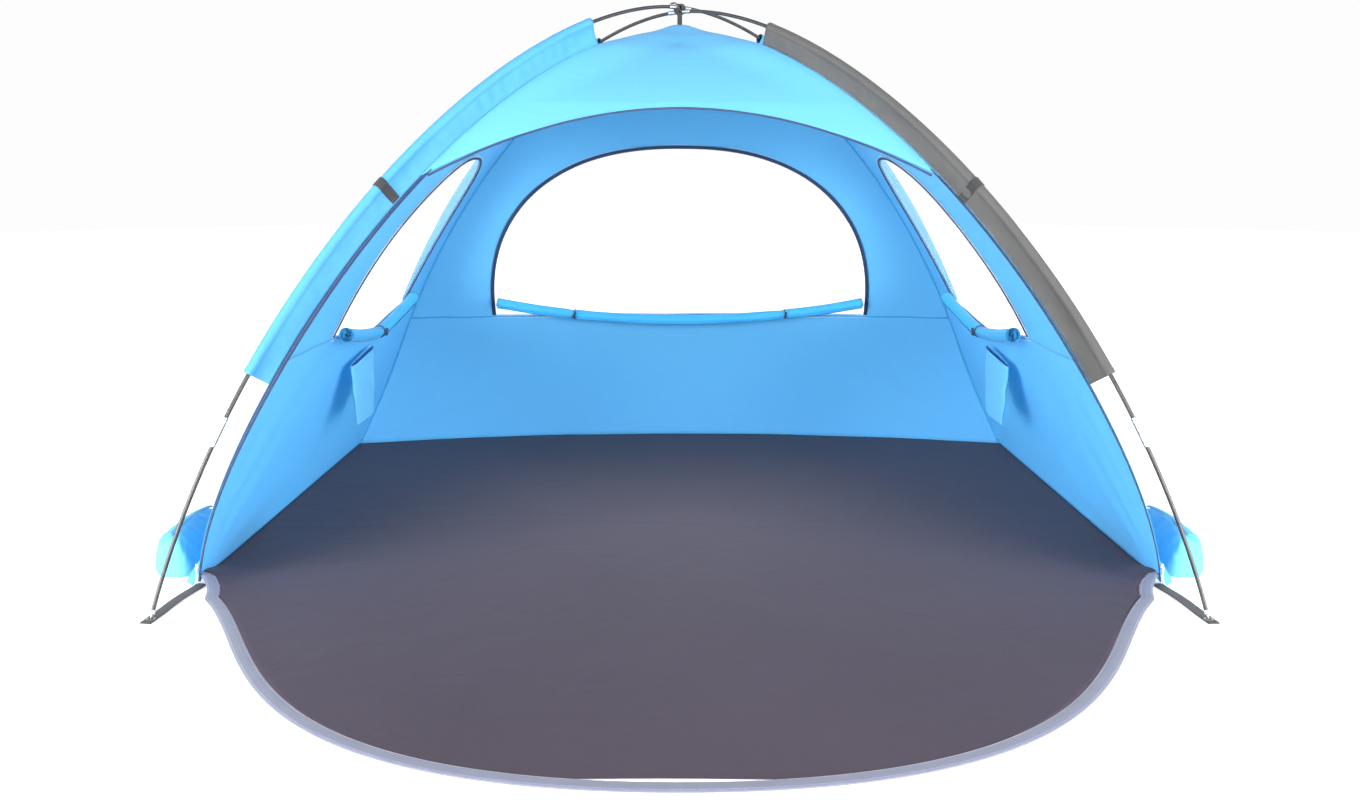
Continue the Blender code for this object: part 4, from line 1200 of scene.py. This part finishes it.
def storage_pocket(word, side, surface, thread):
    """A hanging pouch: a loose front panel that bellies out, a back panel and a top hem."""
    low, high = (np.array(v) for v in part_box(f"storage_pocket_{word}"))
    rows, columns = 44, 60
    turn = np.linspace(0, tau, columns, endpoint=False)
    rise = np.linspace(0, 1, rows)
    middle = (low + high) / 2
    half = (high - low) / 2 - 0.0008
    belly = (0.16 + 0.84 * np.sin(pi * np.clip(rise * 0.62 + 0.06, 0, 1)) ** 0.8)
    belly[-3:] *= 1.03
    narrow = 1 - 0.26 * (1 - rise) ** 1.5
    power = 0.55
    over = np.sign(np.cos(turn)) * np.abs(np.cos(turn)) ** power
    deep = np.sign(np.sin(turn)) * np.abs(np.sin(turn)) ** 0.9
    y = middle[1] + half[1] * narrow[:, None] * over
    fold = 0.0012 * np.sin(9 * over[None, :] + 14 * rise[:, None]) * np.sin(pi * rise)[:, None]
    x = middle[0] + (half[0] - 0.0013) * belly[:, None] * deep * side + fold
    slant = 0.022 * (0.5 - 0.5 * over)[None, :] * smooth(rise, 0.45, 1.0)[:, None]
    z = low[2] + 0.0008 + (high[2] - low[2] - 0.0016) * rise[:, None] - slant
    grid = np.stack([x, y, np.broadcast_to(z, x.shape)], axis=-1)
    girth = np.cumsum(np.full(columns, 2 * (half[0] + half[1]) * 2 / columns))
    coords = np.stack(np.broadcast_arrays(girth[None, :], (rise * (high[2] - low[2]))[:, None]), axis=-1)
    faces = cells(rows, columns, wrap=True).tolist() + [list(range(columns))]
    made = thick(piece(f"storage_pouch_{word}", grid, faces, surface, coords), 0.0008)
    lip = grid[rows - 2]
    lip = np.concatenate([lip, lip[:1]])
    centre = lip.mean(axis=0)
    facing = unit((lip - centre) * (1, 1, 0))
    parts = [made, ribbon(f"pouch_hem_{word}", lip + facing * 0.0006, facing, 0.009, 0.0010, surface)]
    hem = grid[rows - 4]
    hem = np.concatenate([hem, hem[:1]]) + facing * 0.0010
    parts.append(stitches(f"hem_thread_{word}", hem, facing, thread))
    placed(joined(f"storage_pouch_{word}", parts), "shelter", "pocket", f"storage_pocket_{word}")


def slider(word, steel):
    """A zip slider: a waisted body, a bridge, and a pull hanging from it."""
    node = f"door_zip_slider_{word}"
    low, high = (np.array(v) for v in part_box(node))
    centre = (low + high) / 2
    top = high[2]
    share = np.linspace(0, 1, 15)
    body_line = np.stack([0 * share + centre[0], 0 * share + high[1] - 0.005, top - 0.0142 * share], axis=1)
    radius = 0.0046 * (0.72 + 0.28 * np.cos(tau * share) ** 2) * np.sqrt(np.sin(pi * (0.06 + 0.88 * share)))
    parts = [tube(f"{node}_body", body_line, radius, steel, 16, (0, 1, 0), flat=0.85)]
    bridge = bezier(
        (
            (centre[0], high[1] - 0.008, top - 0.0015), (centre[0], low[1] + 0.0015, top - 0.002),
            (centre[0], low[1] + 0.0015, top - 0.012), (centre[0], high[1] - 0.008, top - 0.0125),
        ),
        np.linspace(0, 1, 16),
    )
    parts.append(tube(f"{node}_bridge", bridge, 0.0009, steel, 10, (1, 0, 0)))
    angle = np.linspace(0, tau, 41)
    y = low[1] + 0.0014
    eye = np.stack(
        [centre[0] + 0.0022 * np.cos(angle), 0 * angle + y, top - 0.0105 + 0.0028 * np.sin(angle)], axis=1
    )
    parts.append(tube(f"{node}_eye", eye, 0.0007, steel, 8, (0, 1, 0), caps=False))
    hang = top - 0.0125 - (top - 0.0125 - low[2] - 0.0006) * share
    pull = np.stack([0 * share + centre[0], 0 * share + y, hang], axis=1)
    wide = 0.0030 * (0.62 + 0.38 * smooth(share, 0.1, 0.75)) * np.sqrt(np.sin(pi * (0.08 + 0.84 * share)))
    parts.append(tube(f"{node}_pull", pull, wide, steel, 16, (0, 1, 0), flat=0.36))
    placed(joined(f"{node}_metal", parts), f"{word}_slider", "slider", node)


def corner_tabs(surface, thread):
    """Short blue webbing tabs sewn where the front edges meet the floor."""
    for side, word in ((-1, "left"), (1, "right")):
        half, front, _, _ = (float(v) for v in profile(SEAM_END))
        share = np.linspace(0, 1, 16)
        start = np.array((side * (half - 0.006), front + 0.020, 0.044))
        end = np.array((side * (half + 0.012), front - 0.014, 0.004))
        line = start + (end - start) * share[:, None] + (0, -0.010, 0) * np.sin(pi * share)[:, None]
        facing = np.array((side * 0.35, -1.0, 0.35))
        parts = [ribbon(f"tab_{word}", line, facing, 0.018, 0.0014, surface)]
        for place in (-0.006, 0.006):
            _, across, out = frames_along(line, facing)
            parts.append(stitches(f"tab_thread_{word}", line + across * place + out * 0.0010, facing, thread))
        placed(joined(f"corner_tab_{word}", parts), "shelter", "canopy")


# ---- studio --------------------------------------------------------------------------


def studio(surface):
    """A pale floor that glows with distance, an even white sky, soft lights and the camera."""
    bpy.ops.mesh.primitive_circle_add(
        vertices=96, radius=STUDIO_RADIUS, fill_type="NGON", location=(0, 0, -0.0006)
    )
    floor = bpy.context.active_object
    floor.name = "studio_floor"
    floor.data.materials.append(surface)
    scene = bpy.context.scene
    scene.view_settings.view_transform = "Standard"
    world = bpy.data.worlds.new("studio")
    world.use_nodes = True
    back = world.node_tree.nodes["Background"]
    back.inputs["Color"].default_value = (1.0, 1.0, 1.0, 1.0)
    nodes, links = world.node_tree.nodes, world.node_tree.links
    place = nodes.new("ShaderNodeTexCoord")
    split = nodes.new("ShaderNodeSeparateXYZ")
    ramp = nodes.new("ShaderNodeMapRange")
    ramp.interpolation_type = "SMOOTHSTEP"
    for key, value in zip(RANGE_KEYS, SKY_RAMP):
        ramp.inputs[key].default_value = value
    links.new(place.outputs["Generated"], split.inputs[0])
    links.new(split.outputs["Z"], ramp.inputs["Value"])
    links.new(ramp.outputs[0], back.inputs["Strength"])
    scene.world = world
    for name, place, size, power in LIGHTS:
        lamp = bpy.data.lights.new(name, "AREA")
        lamp.energy = power
        lamp.size = size
        made = bpy.data.objects.new(name, lamp)
        made.location = place
        towards = Vector((0, 0, 0.5)) - Vector(place)
        made.rotation_euler = towards.to_track_quat("-Z", "Y").to_euler()
        scene.collection.objects.link(made)
    camera = bpy.data.cameras.new("camera")
    camera.lens = CAMERA_LENS
    camera.sensor_width = 36.0
    made = bpy.data.objects.new("camera", camera)
    made.location = CAMERA_PLACE
    made.rotation_euler = (pi / 2 - CAMERA_TILT, 0, 0)
    scene.collection.objects.link(made)
    scene.camera = made


def build():
    blue = cloth("sky_blue_polyester", (0.175, 0.560, 0.85), (0.205, 0.615, 0.90), glow=0.45, sheen=0.04)
    roof = cloth("sleeve_blue_polyester", (0.062, 0.285, 0.60), (0.088, 0.340, 0.67), glow=0.15, sheen=0.08)
    grey = cloth("sleeve_grey_polyester", (0.062, 0.062, 0.061), (0.105, 0.105, 0.103), glow=0.05, sheen=0.1)
    rolled = cloth("rolled_cover_polyester", (0.040, 0.38, 0.74), (0.070, 0.46, 0.84), glow=0.10, sheen=0.08)
    pouch = cloth("pouch_polyester", (0.150, 0.560, 0.88), (0.190, 0.630, 0.94), glow=0.25, sheen=0.08)
    dark = cloth(
        "groundsheet_oxford", (0.050, 0.036, 0.052), (0.076, 0.056, 0.082),
        pitch=0.0016, crumple=0.010, sheen=0.05, rough=(0.55, 0.75),
    )
    hem = cloth("lavender_binding", (0.150, 0.160, 0.230), (0.205, 0.220, 0.300), pitch=0.0014)
    cyan = cloth("cyan_seam_tape", (0.02, 0.28, 0.58), (0.04, 0.35, 0.68), pitch=0.0008)
    tab = webbing("blue_webbing", (0.04, 0.30, 0.70), (0.12, 0.50, 0.90))
    black = webbing("black_webbing", (0.004, 0.004, 0.005), (0.035, 0.035, 0.038))
    navy = zip_tape("navy_zip_tape")
    net = netting("white_window_mesh")
    thread = metal("sewing_thread", (0.10, 0.42, 0.80), (0.25, 0.62, 0.95), (0.6, 0.8), 0.0)
    pale_thread = metal("pale_thread", (0.45, 0.48, 0.60), (0.65, 0.68, 0.78), (0.6, 0.8), 0.0)
    rod = glass_fibre("black_fibreglass")
    steel = metal("ferrule_steel", (0.42, 0.43, 0.44), (0.72, 0.73, 0.74))
    nickel = metal("slider_nickel", (0.55, 0.58, 0.64), (0.80, 0.83, 0.88))
    toggle = metal("toggle_plastic", (0.006, 0.008, 0.018), (0.03, 0.035, 0.06), (0.3, 0.5), 0.0)
    elastic = webbing("shock_cord_braid", (0.006, 0.006, 0.006), (0.05, 0.05, 0.05), 0.0015, "Object")

    arches = {"a": Arch(1, CROSSING_RISE), "b": Arch(-1, -CROSSING_RISE)}
    canopy(blue)
    for wall in WINDOWS:
        window_net(wall, net)
        window_trim(wall, navy, thread)
    seam_tapes(cyan, thread)
    visor_binding(navy, thread)
    front_zips(navy, thread)
    for letter, arch in arches.items():
        pole_pieces(letter, arch, rod, steel)
        cord_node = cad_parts[f"pole_{letter}_shock_cord"]
        cord_node.data.materials.clear()
        cord_node.data.materials.append(elastic)
    ends = (("a", -1, "front_left"), ("a", 1, "rear_right"), ("b", -1, "front_right"), ("b", 1, "rear_left"))
    for letter, sign, word in ends:
        surface = grey if word == "front_right" else roof
        kind = "sleeve_grey" if word == "front_right" else "sleeve_blue"
        made = sleeve(f"cloth_sleeve_{word}", arches[letter], sign, surface, thread)
        placed(made, "shelter", kind, f"sleeve_{word}")
        corner_strap(f"corner_strap_{word}", arches[letter], sign, black, steel)
        if sign < 0:
            arch = arches[letter]
            at = float(np.interp(-GUY_BAND_HEIGHT, -arch.points[:, 1], arch.length))
            guy_band(f"guy_band_{word}", arch, at, black)
    apex_tie(black)
    flaps(rolled, navy, toggle)
    ground = groundsheet(dark)
    binding = porch_hem(hem, pale_thread)
    for side, word in ((-1, "left"), (1, "right")):
        sand_pocket(word, pouch, thread)
        storage_pocket(word, side, pouch, thread)
        slider(word, nickel)
    corner_tabs(tab, thread)
    studio(ground_material())


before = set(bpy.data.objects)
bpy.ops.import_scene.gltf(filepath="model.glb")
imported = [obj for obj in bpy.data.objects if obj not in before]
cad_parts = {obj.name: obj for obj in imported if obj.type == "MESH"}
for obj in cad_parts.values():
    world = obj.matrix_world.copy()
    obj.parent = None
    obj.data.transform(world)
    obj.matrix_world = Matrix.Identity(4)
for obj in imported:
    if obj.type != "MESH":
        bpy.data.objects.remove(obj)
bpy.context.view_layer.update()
build()
bpy.context.view_layer.update()
